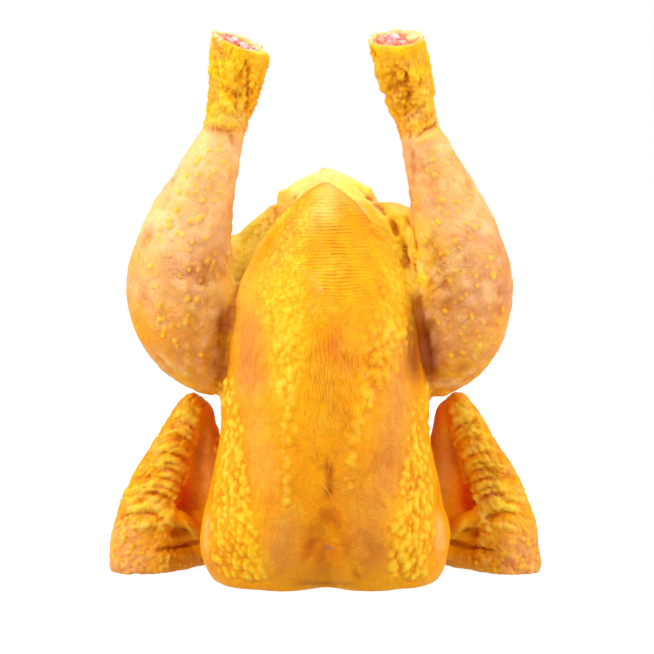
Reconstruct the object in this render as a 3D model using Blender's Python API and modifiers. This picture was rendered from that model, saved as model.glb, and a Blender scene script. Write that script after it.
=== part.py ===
"""A whole raw chicken, plucked and dressed, that stands on its neck end with its legs up.

Metres, +Z up, breast towards -Y.  The bird is one solid of skin and meat.  The two shin bones, whose
joint ends show where the feet were cut off, are solids of their own that run down the drumsticks.
"Left" and "right" are as seen by someone who faces the breast, so left is -X.
"""

import math
from dataclasses import dataclass

import bmesh
import bpy
import numpy as np
from mathutils import Matrix, Vector
from mathutils.bvhtree import BVHTree

MM = 0.001

# ---- driving sizes, in millimetres -------------------------------------------------------------
VOXEL = 1.8  # grain of the clay that the forms are merged in
SOFTENING = 5  # passes of smoothing, which round the joins as skin does
DRAPING = 60  # more passes over the back and thighs, where the skin hangs smooth
SKIN_TRIANGLES = 7700  # what the bird's solid keeps
STAND_LEVEL = 4  # the forms are cut level at this height, where the bird stands
GAP = 0.3  # between a bone and the meat around it
BONE_BELOW_RIM = 2.0  # the bone's knuckle lies this far under the middle of the cut
BONE_INSET = 9  # the bone's deep end lies nearer the body than the middle of the drumstick
BONE_RINGS, BONE_SIDES = 18, 12
SLAB = 60  # the block that trims a hock
CUP_RADII = (11, 9.5, 6.5)  # the hollow of the cut joint: across, front to back, deep
CUP_LIFT = 1.7  # its middle lies this far above the cut
HULL_SIDES, HULL_RINGS = 72, 56
LIMB_SIDES, LIMB_RINGS = 28, 36
STROKE_STEPS = 40  # dabs along one brush stroke
FAR = 300  # the brush starts this far from the middle
FACING = -0.2  # skin that looks further away than this is not touched by a stroke
SKIN_COLOUR = (0.87, 0.40, 0.055)
BONE_COLOUR = (0.80, 0.40, 0.30)

# Level outlines: height, half width, y of the front, of the widest line and of the back,
# then how boxy the front and the back are (2 is round, less is a ridge).
TRUNK = (
    (-8, 48, -30, 4, 37, 2.3, 2.4),
    (10, 57, -38, 4, 43, 2.3, 2.4),
    (30, 61, -42, 4, 47, 2.3, 2.3),
    (60, 58, -44, 4, 50, 2.2, 2.2),
    (100, 54, -44, 4, 52, 2.2, 2.2),
    (140, 53, -42, 6, 52, 2.1, 2.3),
    (165, 50, -36, 8, 50, 2.0, 2.4),
    (183, 43, -26, 12, 47, 2.0, 2.4),
    (197, 32, -12, 16, 44, 2.0, 2.2),
    (206, 20, 2, 18, 40, 2.0, 2.0),
    (210, 3, 14, 20, 30, 2.0, 2.0),
)
BREAST = (
    (-8, 50, -38, -4, 20, 2.6, 2.0),
    (8, 63.5, -50, -6, 20, 2.6, 2.0),
    (26, 68, -58, -8, 20, 2.5, 2.0),
    (50, 63, -63, -10, 20, 2.3, 2.0),
    (80, 57, -66, -12, 20, 2.15, 2.0),
    (110, 56, -66, -14, 18, 2.0, 2.0),
    (140, 54, -63, -16, 12, 1.85, 2.0),
    (165, 46, -58, -18, 6, 1.65, 2.0),
    (185, 34.5, -51, -19, 0, 1.5, 2.0),
    (203, 21.5, -43, -19, -5, 1.5, 2.0),
    (214, 11, -36, -19, -10, 1.65, 2.0),
    (220, 2, -29, -21, -18, 2.0, 2.0),
)
PELVIS = (
    (95, 46, 6, 10, 50, 2.0, 2.2),
    (120, 60, 0, 8, 50, 2.0, 2.3),
    (150, 67, -4, 8, 50, 2.0, 2.4),
    (170, 62, -2, 10, 49, 2.0, 2.4),
    (185, 53, 2, 12, 48, 2.0, 2.3),
    (194, 46, 4, 14, 46, 2.0, 2.2),
    (202, 36, 8, 16, 43, 2.0, 2.1),
    (207, 28, 12, 18, 40, 2.0, 2.0),
    (210, 6, 16, 20, 34, 2.0, 2.0),
)
TAIL = (
    (188, 18, 18, 32, 44, 2.0, 2.0),
    (199, 27, 20, 33, 47, 2.2, 2.2),
    (207, 28.5, 22, 34, 48, 2.3, 2.2),
    (215, 22, 24, 36, 48, 2.1, 2.0),
    (222, 11, 28, 37, 46, 2.0, 2.0),
    (226, 2, 34, 37, 41, 2.0, 2.0),
)
PELVIS_SHIFT, TAIL_SHIFT = 2, 1.5  # the rear leans a little to the right

# Share of the way along a limb, then half width in the front view and half depth.
LEG_GIRTH = (
    (0.00, 5, 5),
    (0.03, 10.5, 12),
    (0.08, 18, 19.5),
    (0.16, 25.5, 25),
    (0.27, 28.8, 27),
    (0.36, 27.5, 26.5),
    (0.43, 24.5, 24.5),
    (0.51, 20.5, 21),
    (0.60, 16, 16.8),
    (0.65, 13.8, 14.6),
    (0.69, 11.8, 12.8),
    (0.735, 10.8, 11.6),
    (0.78, 12.4, 12),
    (0.82, 13.4, 12.5),
    (0.866, 14.9, 12.8),
    (0.92, 15.2, 13),
    (1.00, 15.2, 13),
)
THIGH_GIRTH = ((0, 8, 8), (0.12, 18, 17), (0.35, 26, 25), (0.65, 27, 26), (0.9, 22, 20), (1, 15, 14))
HIP_GIRTH = ((0, 10, 10), (0.2, 18, 18), (0.5, 21, 21), (0.8, 18, 17), (1, 10, 10))
HUMERUS_GIRTH = ((0, 10, 10), (0.1, 13, 12), (0.4, 10.5, 10), (0.75, 8.5, 9), (0.95, 6, 6.5), (1, 3, 3))
FOREARM_GIRTH = (
    (0.00, 2.5, 2.5),
    (0.04, 5.5, 5.5),
    (0.14, 8.0, 7.5),
    (0.31, 10.8, 8.5),
    (0.49, 13.2, 9.5),
    (0.66, 15.4, 10.5),
    (0.84, 16.4, 10.5),
    (0.95, 15, 9.5),
    (1.00, 9, 6.5),
)
HAND_GIRTH = (
    (0.00, 6, 6),
    (0.06, 12, 10),
    (0.20, 11.5, 9.5),
    (0.45, 9, 7.5),
    (0.75, 7.5, 5),
    (0.95, 4, 3),
    (1.00, 2, 2),
)
WEB_GIRTH = ((0, 2, 1.5), (0.3, 7, 2), (0.65, 14, 2.4), (1, 18, 3))
THUMB_GIRTH = ((0, 4, 4), (0.4, 5, 4.5), (0.85, 3, 3), (1, 1.5, 1.5))
BONE_GIRTH = (
    (0.0, 2.5, 2.5),
    (0.015, 4.4, 4.2),
    (0.10, 4.2, 4.0),
    (0.50, 3.2, 3.0),
    (0.86, 3.8, 3.5),
    (0.93, 5.8, 5.0),
    (0.97, 7.0, 6.0),
    (0.99, 6.4, 5.4),
    (1.0, 4.5, 3.5),
)


@dataclass(frozen=True)
class Leg:
    """A drumstick, the thigh and hip behind it, and the hock where the foot was cut off."""

    name: str
    side: int
    path: tuple  # knee's underside, belly, waist, past the cut
    girth: float
    hip: tuple  # where the thigh's mass shows beside the tail
    cut: tuple  # the middle of the cut
    cut_turn: float  # degrees the cut leans towards +X
    cut_lean: float  # degrees it leans towards the breast side


LEGS = (
    Leg(
        name="left",
        side=-1,
        path=(
            (-58.5, -12, 106),
            (-69, -13, 129),
            (-77.7, -14, 163),
            (-73.5, -14, 191),
            (-61.8, -17, 225),
            (-52.3, -18, 251),
            (-46.4, -21, 277),
            (-43.9, -21, 304),
        ),
        girth=1.0,
        hip=(-34, 16, 168),
        cut=(-45.6, -21, 293),
        cut_turn=21,
        cut_lean=12,
    ),
    Leg(
        name="right",
        side=1,
        path=(
            (57.5, -12, 105),
            (67.6, -13, 129),
            (73, -14, 163),
            (68.8, -14, 191),
            (58.4, -17, 225),
            (48.8, -18, 251),
            (41.6, -21, 277),
            (35.4, -21, 304),
        ),
        girth=0.96,
        hip=(37, 12, 186),
        cut=(37.6, -21, 294.5),
        cut_turn=-4,
        cut_lean=22,
    ),
)


@dataclass(frozen=True)
class Stroke:
    """A soft brush drawn over the skin from one side; it raises a ridge or presses a groove."""

    path: tuple  # (x, z) places
    width: tuple  # at the start and at the end
    height: tuple  # along the stroke, negative for a groove
    behind: bool = False  # drawn on the back instead of the breast side


STROKES = (
    # The furrow between the breast's two halves, which deepens into a hollow at the neck end.
    Stroke(path=((3, 72), (2, 46), (1, 22), (0, -6)), width=(4, 10), height=(0, -2.5, -5, -7)),
    Stroke(path=((0.5, 28), (0.5, -6)), width=(7, 14), height=(0, -5, -9)),
    # The keel's blunt ridge.
    Stroke(path=((2, 208), (2, 175), (2, 120), (3, 80)), width=(6, 8), height=(0, 1.5, 0.8, 0)),
    # The ear of skin on the right flank.
    Stroke(path=((32, 200), (41, 187), (45, 172)), width=(3, 3), height=(0, -2.5, -1)),
    # The back: a shallow valley down the spine and the two shoulder blades.
    Stroke(path=((0, 190), (0, 130), (0, 50)), width=(8, 9), height=(-1, -2.5, 0), behind=True),
    Stroke(path=((-18, 96), (-25, 60), (-34, 24)), width=(8, 8), height=(0, 2.5, 0), behind=True),
    Stroke(path=((18, 96), (25, 60), (34, 24)), width=(8, 8), height=(0, 2.5, 0), behind=True),
    Stroke(path=((-28, 192), (0, 186), (30, 192)), width=(4, 4), height=(-1.5, -2.5, -1.5), behind=True),
)


def smooth_between(stations, at):
    """The stations' values at the places `at`, on smooth curves; their first column is the place."""
    table = np.array(stations, float)
    where, values = table[:, 0], table[:, 1:]
    slopes = np.gradient(values, where, axis=0)
    at = np.clip(np.asarray(at, float), where[0], where[-1])
    i = np.clip(np.searchsorted(where, at, side="right") - 1, 0, len(where) - 2)
    span = (where[i + 1] - where[i])[..., None]
    t = (at - where[i])[..., None] / span
    start = (2 * t**3 - 3 * t**2 + 1) * values[i] + (t**3 - 2 * t**2 + t) * span * slopes[i]
    end = (3 * t**2 - 2 * t**3) * values[i + 1] + (t**3 - t**2) * span * slopes[i + 1]
    return start + end


def smooth_path(points, count):
    """`count` points evenly spaced along a smooth curve through the given ones."""
    points = np.array(points, float)
    steps = np.linalg.norm(np.diff(points, axis=0), axis=1)
    along = np.concatenate([[0], np.cumsum(steps)]) / steps.sum()
    stations = np.column_stack([along, points])
    fine = smooth_between(stations, np.linspace(0, 1, 400))
    walked = np.concatenate([[0], np.cumsum(np.linalg.norm(np.diff(fine, axis=0), axis=1))])
    even = np.linspace(0, walked[-1], count)
    return np.column_stack([np.interp(even, walked, fine[:, k]) for k in range(3)])


def ease(share):
    """Zero below 0, one above 1 and smooth between."""
    share = min(max(share, 0), 1)
    return share * share * (3 - 2 * share)


def rounded(share, roundness):
    """A cosine or sine pushed out towards a box (roundness over 2) or in towards a ridge (under 2)."""
    return math.copysign(abs(share) ** (2 / roundness), share)


def hull(stations, shift=0.0):
    """A closed form like a boat's hull on end: a sphere reshaped to a level outline at each height."""
    clay = bmesh.new()
    bmesh.ops.create_uvsphere(clay, u_segments=HULL_SIDES, v_segments=HULL_RINGS, radius=1)
    low, high = stations[0][0], stations[-1][0]
    for vert in clay.verts:
        height = low + (high - low) * (vert.co.z + 1) / 2
        half_width, front, widest, back, front_round, back_round = smooth_between(stations, height)
        across, ahead = vert.co.x, vert.co.y
        ring = math.hypot(across, ahead)
        if ring < 1e-4:
            vert.co = Vector((shift, widest, height)) * MM
            continue
        roundness, reach = (front_round, widest - front) if ahead < 0 else (back_round, back - widest)
        x = shift + half_width * rounded(across / ring, roundness)
        y = widest + reach * rounded(ahead / ring, roundness)
        vert.co = Vector((x, y, height)) * MM
    return clay


def limb(points, girth, scale=1.0, grow=0.0, rings=LIMB_RINGS, sides=LIMB_SIDES):
    """A closed form along a smooth path: oval rings, whose first girth is their width in the front view."""
    clay = bmesh.new()
    path = smooth_path(points, rings)
    tangents = np.gradient(path, axis=0)
    girths = smooth_between(girth, np.linspace(0, 1, rings)) * scale + grow
    before = None
    for k in range(rings):
        along = Vector(tangents[k]).normalized()
        across = along.cross(Vector((0, 1, 0))).normalized()
        turn = Matrix((across, along.cross(across), along)).transposed().to_4x4()
        grown = Matrix.Diagonal((girths[k][0] * MM, girths[k][1] * MM, 1, 1))
        place = Matrix.Translation(Vector(path[k]) * MM)
        ring = bmesh.ops.create_circle(
            clay, cap_ends=k in (0, rings - 1), radius=1, segments=sides, matrix=place @ turn @ grown
        )["verts"]
        edges = list({edge for vert in ring for edge in vert.link_edges})
        if before is not None:
            bmesh.ops.bridge_loops(clay, edges=before + edges)
        before = edges
    bmesh.ops.recalc_face_normals(clay, faces=clay.faces)
    return clay


def wing_forms(side):
    """Upper arm, forearm, hand, thumb and the skin between, folded with the elbow up."""

    def at(*places):
        return [(side * x, y, z) for x, y, z in places]

    elbow = ((71, 14, 105), (77, 12, 90), (84, 11, 73))
    wrist = ((92.5, 9, 56), (98.5, 8, 39), (102, 8, 20), (103, 8, -3))
    return [
        limb(at((52, 26, 20), (61, 25, 50), (68, 22, 82), (70, 18, 101)), HUMERUS_GIRTH),
        limb(at(*elbow, *wrist), FOREARM_GIRTH),
        limb(at((108, 8, 13), (90, 12, 12), (66, 32, 13), (46, 44, 18), (24, 49, 30)), HAND_GIRTH),
        limb(at((68, 18, 96), (73, 18, 60), (80, 17, 12)), WEB_GIRTH),
        limb(at((92, 2, 36), (80, 7, 34), (68, 13, 26)), THUMB_GIRTH),
    ]


def leg_forms(leg):
    """Drumstick with its hock, the thigh that runs from the knee back, and the hip's mass."""
    s = leg.side
    hip_x, hip_y, hip_z = leg.hip
    thigh = [(s * 60, -4, 112), (s * 66, 10, 136), (s * 58, 16, 162), (hip_x, hip_y, hip_z)]
    hip = [(s * 52, 10, hip_z - 34), (hip_x, hip_y, hip_z), (hip_x - s * 16, hip_y + 6, hip_z + 14)]
    return [limb(leg.path, LEG_GIRTH, leg.girth), limb(thigh, THIGH_GIRTH), limb(hip, HIP_GIRTH)]


def new_object(name, clay, collection):
    """An object that holds the clay."""
    mesh = bpy.data.meshes.new(name)
    clay.to_mesh(mesh)
    clay.free()
    obj = bpy.data.objects.new(name, mesh)
    collection.objects.link(obj)
    return obj


def baked(obj):
    """Replaces the object's mesh by what its modifiers make of it."""
    bpy.context.view_layer.update()
    graph = bpy.context.evaluated_depsgraph_get()
    mesh = bpy.data.meshes.new_from_object(obj.evaluated_get(graph))
    obj.modifiers.clear()
    obj.data = mesh
    return obj


def merged_forms(collection):
    """All forms of the bird pressed into one skin."""
    forms = [hull(TRUNK), hull(BREAST), hull(PELVIS, shift=PELVIS_SHIFT), hull(TAIL, shift=TAIL_SHIFT)]
    for leg in LEGS:
        forms += leg_forms(leg)
    for side in (-1, 1):
        forms += wing_forms(side)
    clay = bmesh.new()
    for form in forms:
        mesh = bpy.data.meshes.new("form")
        form.to_mesh(mesh)
        form.free()
        clay.from_mesh(mesh)
        bpy.data.meshes.remove(mesh)
    bird = new_object("chicken", clay, collection)
    remesh = bird.modifiers.new("merge", "REMESH")
    remesh.mode = "VOXEL"
    remesh.voxel_size = VOXEL * MM
    smooth = bird.modifiers.new("soften", "SMOOTH")
    smooth.factor = 0.5
    smooth.iterations = SOFTENING
    baked(bird)
    drape = bird.vertex_groups.new(name="drape")
    for spot in bird.data.vertices:
        x, y, z = spot.co / MM
        weight = ease((y - 6) / 16) * ease((z - 92) / 14) * ease((202 - z) / 12)
        if weight > 0:
            drape.add([spot.index], weight, "REPLACE")
    smooth = bird.modifiers.new("drape", "SMOOTH")
    smooth.factor = 0.6
    smooth.iterations = DRAPING
    smooth.vertex_group = drape.name
    baked(bird)
    bird.vertex_groups.clear()
    return bird


def press_strokes(bird):
    """Draws the brush strokes on the bird's skin."""
    mesh = bird.data
    count = len(mesh.vertices)
    spots = np.empty(count * 3)
    mesh.vertices.foreach_get("co", spots)
    spots = spots.reshape(count, 3)
    normals = np.empty(count * 3)
    mesh.vertex_normals.foreach_get("vector", normals)
    normals = normals.reshape(count, 3)
    skin = BVHTree.FromObject(bird, bpy.context.evaluated_depsgraph_get())
    rise = np.zeros(count)
    for stroke in STROKES:
        places = smooth_path([(x, 0, z) for x, z in stroke.path], STROKE_STEPS)
        side = 1 if stroke.behind else -1
        shares = np.linspace(0, 1, STROKE_STEPS)
        widths = np.interp(shares, (0, 1), stroke.width)
        heights = np.interp(shares, np.linspace(0, 1, len(stroke.height)), stroke.height)
        press = np.zeros(count)
        for place, width, height in zip(places, widths, heights):
            start = Vector((place[0] * MM, side * FAR * MM, place[2] * MM))
            hit = skin.ray_cast(start, Vector((0, -side, 0)))[0]
            if hit is None:
                continue
            far = ((spots - np.array(hit)) ** 2).sum(axis=1) / (width * MM) ** 2
            faced = normals[:, 1] * side > FACING
            dab = np.where(faced, height * np.exp(-far), 0)
            press = np.where(np.abs(dab) > np.abs(press), dab, press)
        rise += press
    ways = normals * np.where(normals[:, 2:] < 0, (1, 1, 0), 1)
    ways /= np.maximum(np.linalg.norm(ways, axis=1), 0.1)[:, None]
    spots += ways * rise[:, None] * MM
    mesh.vertices.foreach_set("co", spots.ravel())
    mesh.update()


def stand_flat(bird):
    """Cuts the bird level where it stands."""
    clay = bmesh.new()
    clay.from_mesh(bird.data)
    level = (0, 0, STAND_LEVEL * MM)
    everything = clay.verts[:] + clay.edges[:] + clay.faces[:]
    cut = bmesh.ops.bisect_plane(
        clay, geom=everything, plane_co=level, plane_no=(0, 0, 1), clear_inner=True
    )
    rim = [part for part in cut["geom_cut"] if isinstance(part, bmesh.types.BMEdge)]
    bmesh.ops.holes_fill(clay, edges=rim, sides=0)
    bmesh.ops.triangulate(clay, faces=clay.faces[:])
    clay.to_mesh(bird.data)
    clay.free()


def bone_forms(leg, grow=0.0):
    """The shin bone, from the thick of the drumstick up to its knuckle in the cut."""
    cut_x, cut_y, cut_z = leg.cut
    deep_x, deep_y, deep_z = leg.path[2]
    waist_x, waist_y, waist_z = leg.path[4]
    path = (
        (deep_x - leg.side * BONE_INSET, deep_y, deep_z),
        (waist_x, waist_y, waist_z),
        (cut_x, cut_y, cut_z - BONE_BELOW_RIM),
    )
    return limb(path, BONE_GIRTH, grow=grow, rings=BONE_RINGS, sides=BONE_SIDES)


def take_away(bird, cutter, order):
    """Cuts the cutter's shape out of the bird."""
    cut = bird.modifiers.new(f"cut_{order}", "BOOLEAN")
    cut.operation = "DIFFERENCE"
    cut.solver = "EXACT"
    cut.object = cutter


def hock_cutters(leg, cutters):
    """The knife's slab over the hock, the hollow of its joint and the bore for the bone."""
    turn = Matrix.Rotation(math.radians(leg.cut_turn), 4, "Y")
    lean = Matrix.Rotation(math.radians(leg.cut_lean), 4, "X")
    place = Matrix.Translation(Vector(leg.cut) * MM) @ turn @ lean
    half = SLAB / 2 * MM
    slab = bmesh.new()
    bmesh.ops.create_cube(slab, size=SLAB * MM, matrix=place @ Matrix.Translation((0, 0, half)))
    cup = bmesh.new()
    lift = Matrix.Translation((0, 0, CUP_LIFT * MM))
    sizes = Matrix.Diagonal((*(radius * MM for radius in CUP_RADII), 1))
    bmesh.ops.create_uvsphere(
        cup, u_segments=20, v_segments=10, radius=1, matrix=place @ lift @ sizes
    )
    return [
        new_object(f"slab_{leg.name}", slab, cutters),
        new_object(f"cup_{leg.name}", cup, cutters),
        new_object(f"bore_{leg.name}", bone_forms(leg, grow=GAP), cutters),
    ]


def painted(obj, colour, roughness):
    """Gives the object one plain material."""
    material = bpy.data.materials.new(obj.name)
    material.use_nodes = True
    shader = material.node_tree.nodes["Principled BSDF"]
    shader.inputs["Base Color"].default_value = (*colour, 1)
    shader.inputs["Roughness"].default_value = roughness
    shader.inputs["Metallic"].default_value = 0
    material.diffuse_color = (*colour, 1)
    obj.data.materials.clear()
    obj.data.materials.append(material)


def centre_on_origin(objects):
    """Moves the bird's box over the origin, with its foot at z = 0."""
    spots = [spot.co for obj in objects for spot in obj.data.vertices]
    middle = [(min(c[axis] for c in spots) + max(c[axis] for c in spots)) / 2 for axis in (0, 1)]
    shift = Matrix.Translation((-middle[0], -middle[1], -STAND_LEVEL * MM))
    for obj in objects:
        obj.data.transform(shift)


def main():
    """Builds the bird and its two shin bones."""
    for obj in list(bpy.data.objects):
        bpy.data.objects.remove(obj)
    collection = bpy.data.collections.new("raw_chicken")
    cutters = bpy.data.collections.new("cutters")
    for group in (collection, cutters):
        bpy.context.scene.collection.children.link(group)
    bird = merged_forms(collection)
    press_strokes(bird)
    count = sum(len(face.vertices) - 2 for face in bird.data.polygons)
    thin = bird.modifiers.new("thin", "DECIMATE")
    thin.ratio = SKIN_TRIANGLES / count
    baked(bird)
    stand_flat(bird)
    bones = []
    for leg in LEGS:
        for cutter in hock_cutters(leg, cutters):
            cutter.hide_render = True
            cutter.display_type = "WIRE"
            take_away(bird, cutter, cutter.name)
        bones.append(new_object(f"shin_bone_{leg.name}", bone_forms(leg), collection))
    baked(bird)
    painted(bird, SKIN_COLOUR, 0.42)
    for bone in bones:
        painted(bone, BONE_COLOUR, 0.38)
    centre_on_origin([bird, *bones])


main()
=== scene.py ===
"""Dresses a whole raw chicken: yellow skin with its folds and feather follicles, cut hocks and joint ends.

Lengths are millimetres until they are set on a mesh.  The bird stands on its neck end with its breast
towards -Y; left and right are as seen by someone who faces the breast.
"""
import logging
import math
from collections.abc import Callable
from dataclasses import dataclass, field, replace
from enum import Enum
from functools import lru_cache

import bmesh
import bpy
import numpy as np
from mathutils import Matrix, Vector, noise
from mathutils.bvhtree import BVHTree
from mathutils.kdtree import KDTree


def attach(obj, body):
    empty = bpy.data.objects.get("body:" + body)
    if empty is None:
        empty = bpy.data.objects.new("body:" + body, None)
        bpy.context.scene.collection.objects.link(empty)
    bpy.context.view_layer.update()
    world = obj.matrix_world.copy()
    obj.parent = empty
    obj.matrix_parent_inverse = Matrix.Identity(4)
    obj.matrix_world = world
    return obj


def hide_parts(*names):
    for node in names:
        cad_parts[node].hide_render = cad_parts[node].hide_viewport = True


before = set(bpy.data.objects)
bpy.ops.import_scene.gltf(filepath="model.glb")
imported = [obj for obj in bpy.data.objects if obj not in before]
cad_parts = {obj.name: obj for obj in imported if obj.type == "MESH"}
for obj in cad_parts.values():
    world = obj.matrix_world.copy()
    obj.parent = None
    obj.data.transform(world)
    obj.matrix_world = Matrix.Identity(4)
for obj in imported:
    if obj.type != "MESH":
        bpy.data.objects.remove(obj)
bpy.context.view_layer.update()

MM = 0.001
Place = tuple[float, float]
Spot = tuple[float, float, float]
LOG = logging.getLogger("raw_chicken")

# The eye that looks at the breast, level with the keel and a little above it.
EYE_TARGET = Vector((1.0, 0.0, 137.0))
EYE_DISTANCE = 1200.0
EYE_HEIGHT_DEG = 5.0
VIEW_WIDTH = 353.0  # what the camera takes in at the bird
MOST_TRIANGLES = 196_000  # the most in the skin; in the skin, so that its file is written in full


class Side(Enum):
    """The side of the bird that a stroke is drawn on: the turn of the hand about +Z, in degrees."""

    FRONT = 0.0
    RIGHT = 90.0
    BACK = 180.0
    LEFT = 270.0


class SkinPaint(Enum):
    """The colours painted on the skin, as sRGB hex: those of raw poultry, and painted shade, highlight and glow where
    noted.
    """

    GOLD = "f5a000"  # skin over muscle, also painted shade in the tail's creases
    BUTTER = "ffb800"  # thick yellow fat
    YOLK = "ffca22"  # fat in the follicles
    LEMON = "ffe240"  # fat on the flanks and the tail, and painted highlight on the crests of folds
    CREAM = "ffee9a"  # the palest fat, and painted highlight on the tail's top and the left flank
    BLUSH = "ffd69c"  # pale thin skin, and painted highlight on the drumsticks' tops and the keel's top
    TAN = "e69c48"  # thin skin over the drumstick
    PINK = "f0a878"  # meat that shows through
    AMBER = "cf7200"  # amber tone of the skin, and painted shade in folds, creases and lower parts
    RUST = "8e4200"  # painted shade at the bottom of deep folds, beside the thighs and along the base
    GLOW = "ff5c00"  # painted glow where light comes through thin skin
    BLOOD = "f25410"  # a red spot
    MAUVE = "d89a78"  # thin skin over dark meat, also a painted shadow line on the breast
    RAW = "ea8c6c"  # flesh in a cut
    OLIVE = "755c08"  # a bruise


class Grain(Enum):
    """Which way the skin's finest wrinkles run, kept as an attribute of the mesh."""

    ACROSS = "across"
    ALONG = "along"


@dataclass(frozen=True)
class Stroke:
    """One pass of the tool over the skin.

    The path goes across and up.  On the front it is drawn on the upright plane through the bird's
    middle as the eye sees it, and on the other sides it is drawn square to the side.
    """

    path: tuple[Place, ...]
    width: float
    rise: float = 0.0
    side: Side = Side.FRONT
    taper: tuple[float, float] = (0.0, 0.0)  # share of the stroke that is left at its ends
    paint: tuple[tuple[SkinPaint | Grain, float], ...] = ()

    def mirrored(self) -> "Stroke":
        """The same stroke on the bird's other half."""
        swap = {Side.LEFT: Side.RIGHT, Side.RIGHT: Side.LEFT}
        return replace(self, path=flip(self.path), side=swap.get(self.side, self.side))


@dataclass(frozen=True)
class Bead:
    """One feather follicle: a knob of fat that stands out of the skin."""

    place: Place
    side: Side
    radius: float
    height: float
    stretch: float = 1.0  # how much longer than wide
    lean: float = 0.0  # degrees that its long way is turned from upright
    dye: SkinPaint = SkinPaint.BUTTER
    cover: float = 0.6


@dataclass(frozen=True)
class Zone:
    """A stretch of the bird round a line in space, such as a drumstick."""

    line: tuple[Spot, ...]
    reach: tuple[float, ...]  # how far from the line it goes, at each of its points
    soft: float = 4.0  # the width of its faded edge

    def weights(self, places: np.ndarray) -> np.ndarray:
        """How much each place belongs to the zone.

        Args:
            places: Points, one a row.

        Returns:
            A weight from 0 to 1 for each.
        """
        nearest = np.full(len(places), 1e9)
        ends = [np.array(spot, float) for spot in self.line]
        for a, b, first, last in zip(ends, ends[1:], self.reach, self.reach[1:]):
            share = np.clip((places - a) @ (b - a) / ((b - a) @ (b - a)), 0, 1)
            away = np.linalg.norm(places - (a + share[:, None] * (b - a)), axis=1)
            nearest = np.minimum(nearest, away - (first + (last - first) * share))
        faded = np.clip(0.5 - nearest / self.soft, 0, 1)
        return faded * faded * (3 - 2 * faded)

    def mirrored(self) -> "Zone":
        """The same stretch on the bird's other half."""
        return replace(self, line=tuple((-x, y, z) for x, y, z in self.line))


# ---- curves and colours ------------------------------------------------------------------------


def eye_point() -> Vector:
    """Where the eye stands."""
    rise = math.radians(EYE_HEIGHT_DEG)
    return EYE_TARGET + Vector((0.0, -math.cos(rise), math.sin(rise))) * EYE_DISTANCE


def flip(path: tuple[Place, ...]) -> tuple[Place, ...]:
    """The path's mirror image."""
    return tuple((-x, z) for x, z in path)


def smooth_path(places: np.ndarray | tuple, count: int) -> np.ndarray:
    """Points spread evenly along a smooth curve through the places.

    Args:
        places: The places that the curve goes through, one a row.
        count: How many points to return.

    Returns:
        The points, one a row.
    """
    places = np.asarray(places, float)
    if len(places) == 1 or count == 1:
        return np.repeat(places[:1], count, axis=0)
    steps = np.maximum(np.linalg.norm(np.diff(places, axis=0), axis=1), 1e-6)
    along = np.concatenate([[0.0], np.cumsum(steps)])
    at = np.linspace(0.0, along[-1], count)
    i = np.clip(np.searchsorted(along, at, side="right") - 1, 0, len(places) - 2)
    span = (along[i + 1] - along[i])[:, None]
    t = (at - along[i])[:, None] / span
    if len(places) == 2:
        return places[i] * (1 - t) + places[i + 1] * t
    slopes = np.gradient(places, along, axis=0)
    start = (2 * t**3 - 3 * t**2 + 1) * places[i] + (t**3 - 2 * t**2 + t) * span * slopes[i]
    end = (3 * t**2 - 2 * t**3) * places[i + 1] + (t**3 - t**2) * span * slopes[i + 1]
    return start + end


def at_share(places: tuple[Place, ...], share: float) -> np.ndarray:
    """The point that lies the given share along the smooth curve through the places."""
    return smooth_path(places, 101)[round(share * 100)]


def path_length(places: tuple[Place, ...]) -> float:
    """The length of the broken line through the places."""
    return float(np.linalg.norm(np.diff(np.asarray(places, float), axis=0), axis=1).sum())


@lru_cache(maxsize=None)
def linear(colour: str) -> tuple[float, float, float, float]:
    """Turns a colour as screens write it into light.

    Args:
        colour: Six hex digits.

    Returns:
        Red, green and blue as linear light, and an alpha of 1.
    """
    parts = [int(colour[k : k + 2], 16) / 255 for k in (0, 2, 4)]
    light = [c / 12.92 if c <= 0.04045 else ((c + 0.055) / 1.055) ** 2.4 for c in parts]
    return (light[0], light[1], light[2], 1.0)


# ---- the skin as clay --------------------------------------------------------------------------


def clay_copy(node: bpy.types.Object, grain: float, passes: int) -> bpy.types.Mesh:
    """A fine, even and smooth copy of a solid.

    Args:
        node: The solid.
        grain: The width of the copy's faces.
        passes: How often its facets are smoothed.

    Returns:
        The copy's mesh.
    """
    work = bmesh.new()
    work.from_mesh(node.data)
    bmesh.ops.remove_doubles(work, verts=work.verts, dist=1e-6)
    mesh = bpy.data.meshes.new("clay")
    work.to_mesh(mesh)
    work.free()

    def grained(holder: bpy.types.Object) -> None:
        """Adds the modifiers that even the faces out and smooth them."""
        remesh = holder.modifiers.new("grain", "REMESH")
        remesh.mode = "VOXEL"
        remesh.voxel_size = grain * MM
        remesh.use_smooth_shade = True
        soften = holder.modifiers.new("soften", "SMOOTH")
        soften.factor = 0.5
        soften.iterations = passes

    return finished(mesh, grained)


def finished(mesh: bpy.types.Mesh, add_modifiers: Callable[[bpy.types.Object], None]) -> bpy.types.Mesh:
    """What modifiers make of a mesh.

    Args:
        mesh: The mesh, which is removed afterwards.
        add_modifiers: Adds them to the object it is given.

    Returns:
        The new mesh.
    """
    holder = bpy.data.objects.new("holder", mesh)
    bpy.context.scene.collection.objects.link(holder)
    add_modifiers(holder)
    graph = bpy.context.evaluated_depsgraph_get()
    made = bpy.data.meshes.new_from_object(holder.evaluated_get(graph))
    bpy.data.objects.remove(holder)
    bpy.data.meshes.remove(mesh)
    return made


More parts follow.
